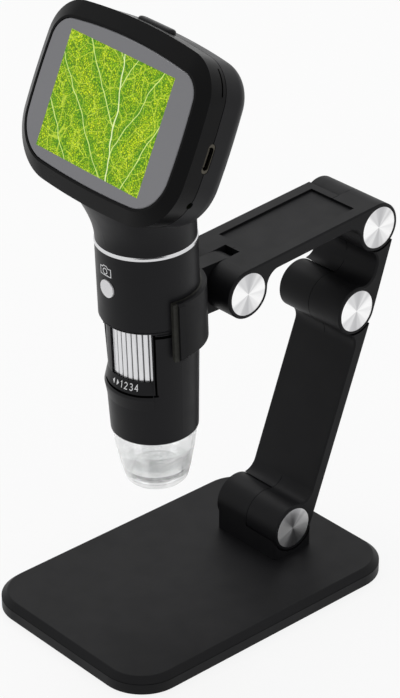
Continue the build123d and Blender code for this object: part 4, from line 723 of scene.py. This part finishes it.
hump = [(1.3, 1.45), (0.8, 2.2), (-1.0, 2.2), (-1.5, 1.45)]
box_line = [(-2.8, -1.6), (2.8, -1.6), (2.8, 1.45)] + hump + [(-2.8, 1.45)]
lens_line = arc((-0.15, 0.0), 1.1, 0, 345, 23)
sign_strokes = [(placed(line, SIGN_ACROSS, SIGN_UP), True) for line in (box_line, lens_line)]
printed("camera_sign", sign_strokes, PRINTED_LINE, "upper_housing", "button_silver")

# %% [markdown]
# Under the wheel the sill is a shallow cone. It carries two arrows for the turning direction and plain
# numbers. The digits are drawn as strokes, in the round style of an engraving machine, 2.5 mm high.

# %% The focus marks
MARKS = {
    "1": [([(0.15, 1.4), (0.5, 1.8), (0.5, 0.0)], False)],
    "2": [(arc((0.475, 1.3), 0.45, 165, -35, 8) + [(0.0, 0.0), (0.95, 0.0)], False)],
    "3": [(arc((0.45, 1.35), 0.42, 150, -90, 8) + arc((0.45, 0.47), 0.47, 90, -150, 8), False)],
    "4": [([(0.7, 0.0), (0.7, 1.8), (0.0, 0.55), (0.95, 0.55)], False)],
    "left": [([(0.2, 0.9), (0.8, 1.5), (0.8, 0.3)], True), ([(0.4, 0.9), (0.7, 1.1), (0.7, 0.7)], True)],
    "right": [([(0.8, 0.9), (0.2, 1.5), (0.2, 0.3)], True), ([(0.6, 0.9), (0.3, 1.1), (0.3, 0.7)], True)],
}
MARKS_UP, MARK_SCALE = -29.3, 1.4
MARK_PLACES = (("left", -2.4), ("right", 0.2), ("1", 2.3), ("2", 4.4), ("3", 6.8), ("4", 9.1))
marks = [(placed(line, start, MARKS_UP, MARK_SCALE), closed) for sign, start in MARK_PLACES
         for line, closed in MARKS[sign]]
printed("focus_marks", marks, PRINTED_LINE, "lower_housing", "button_silver")

# %% [markdown]
# A narrow groove runs down the right edge of the window and on round the foot of the sill. No light reaches
# its bottom, so its shade is painted as a black line. Beside the clip's lip a short notch shows under the
# seam, where the two housings are prised apart: its shade is painted as a dark dash, and a raised lip over it
# catches the light. All are strokes wrapped round the barrel again, the painted shade of the groove and the
# notch in the dullest black and the lip in case plastic.

# %% Painted shade of the window's groove and of the notch under the seam
GROOVE_WIDTH, NOTCH_WIDTH, LIP_WIDTH = 0.8, 1.1, 0.35
LIP_RISE = 0.28 * MM
# Painted shade: a black with no gloss, for the bottoms of the groove and the notch.
shadow, tree, place = new_material("painted_groove_and_notch_shade")
cloud = add(tree, "TexNoise", ("Vector", place), ("Scale", 1 / (3 * MM)), ("Detail", 3.0))
colour = add(tree, "Mix", ("Factor", cloud), ("A", linear("#020202")), ("B", linear("#060606")),
             data_type="RGBA")
surface(tree, ("Base Color", colour), ("Roughness", 0.9), ("Specular IOR Level", 0.0))

edge_line = [(17.6, -5.0), (17.6, -15.0), (17.5, -23.5), (17.6, -30.6)]
foot_line = [(-8.5, -30.2), (-4.5, -30.7), (2.9, -31.0), (9.6, -31.1), (15.4, -31.0), (18.4, -31.1)]
notch_line = [(17.9, -6.2), (21.4, -6.35), (25.4, -6.5)]
lip_line = [(18.8, -5.35), (21.4, -5.4), (24.6, -5.5)]
groove_strokes = [(edge_line, False), (foot_line, False)]
printed("window_groove_shade", groove_strokes, GROOVE_WIDTH, "lower_housing", "case_plastic", finish=shadow)
printed("seam_notch", [(notch_line, False)], NOTCH_WIDTH, "lower_housing", "case_plastic", finish=shadow)
printed("seam_notch_lip", [(lip_line, False)], LIP_WIDTH, "lower_housing", "case_plastic", rise=LIP_RISE)

# %% [markdown]
# ## Inside the clear cap
#
# Behind the cap's wall sits a clear light guide, which spreads the lamps' light over the specimen. A collar
# narrows downwards, meets a cone that widens to the cap's lip, and the cone's flat top has a small tube in
# the middle. All of it is turned round the barrel's axis, so one function spins one closed outline. Thin
# clear walls show mostly as dark and pale lines, where one looks along them.


# %% Spin an outline round the barrel
def spun(name, outline, slot, body, steps=96):
    """Closed ring from an outline of (radius, height) in millimetres."""
    mesh = bmesh.new()
    rings = []
    for i in range(steps):
        turn = 2 * pi * i / steps
        rings.append([mesh.verts.new(round_barrel(out * MM, turn, up * MM)) for out, up in outline])
    for i in range(steps):
        one, two = rings[i], rings[(i + 1) % steps]
        for k in range(len(outline)):
            after = (k + 1) % len(outline)
            mesh.faces.new((one[k], two[k], two[after], one[after]))
    return piece(name, mesh, slot, body)


collar = [(10.2, -64.4), (8.9, -70.0)]
cone = [(9.9, -73.4), (9.3, -73.4), (8.2, -70.2), (6.8, -66.6)]
tube = [(2.7, -66.6), (2.7, -70.6), (2.1, -70.6), (2.1, -66.0)]
plate_edge = [(7.3, -66.0), (8.4, -69.2)]
spun("light_guide", collar + cone + tube + plate_edge, "clear_plastic", "clear_cap")

# %% [markdown]
# ## The floor
#
# A plain pale sheet of card. It is white to the camera and keeps the object's soft shadow: part of what the
# camera sees is its own white, and part is the light that falls on it.

# %% Pale floor
FLOOR_REACH = 6.0
FLOOR_OWN_WHITE = 0.86
card, tree, place = new_material("white_card")
own_share = add(tree, "Math", (0, looked_at(tree)), (1, FLOOR_OWN_WHITE), operation="MULTIPLY")
fibres = add(tree, "TexNoise", ("Vector", place), ("Scale", 1 / (2 * MM)), ("Detail", 4.0))
colour = add(tree, "Mix", ("Factor", fibres), ("A", linear("#F2F2F2")), ("B", linear("#F8F8F8")),
             data_type="RGBA")
matt = add(tree, "BsdfDiffuse", ("Color", colour))
own = add(tree, "Emission", ("Color", linear("#FFFFFF")), ("Strength", 1.0))
both = add(tree, "MixShader", (0, own_share), (1, matt), (2, own))
add(tree, "OutputMaterial", ("Surface", both))

mesh = bmesh.new()
bmesh.ops.create_grid(mesh, x_segments=8, y_segments=8, size=FLOOR_REACH)
floor = mesh_object("floor", mesh, card)
print("floor reaches", FLOOR_REACH, "m each way")
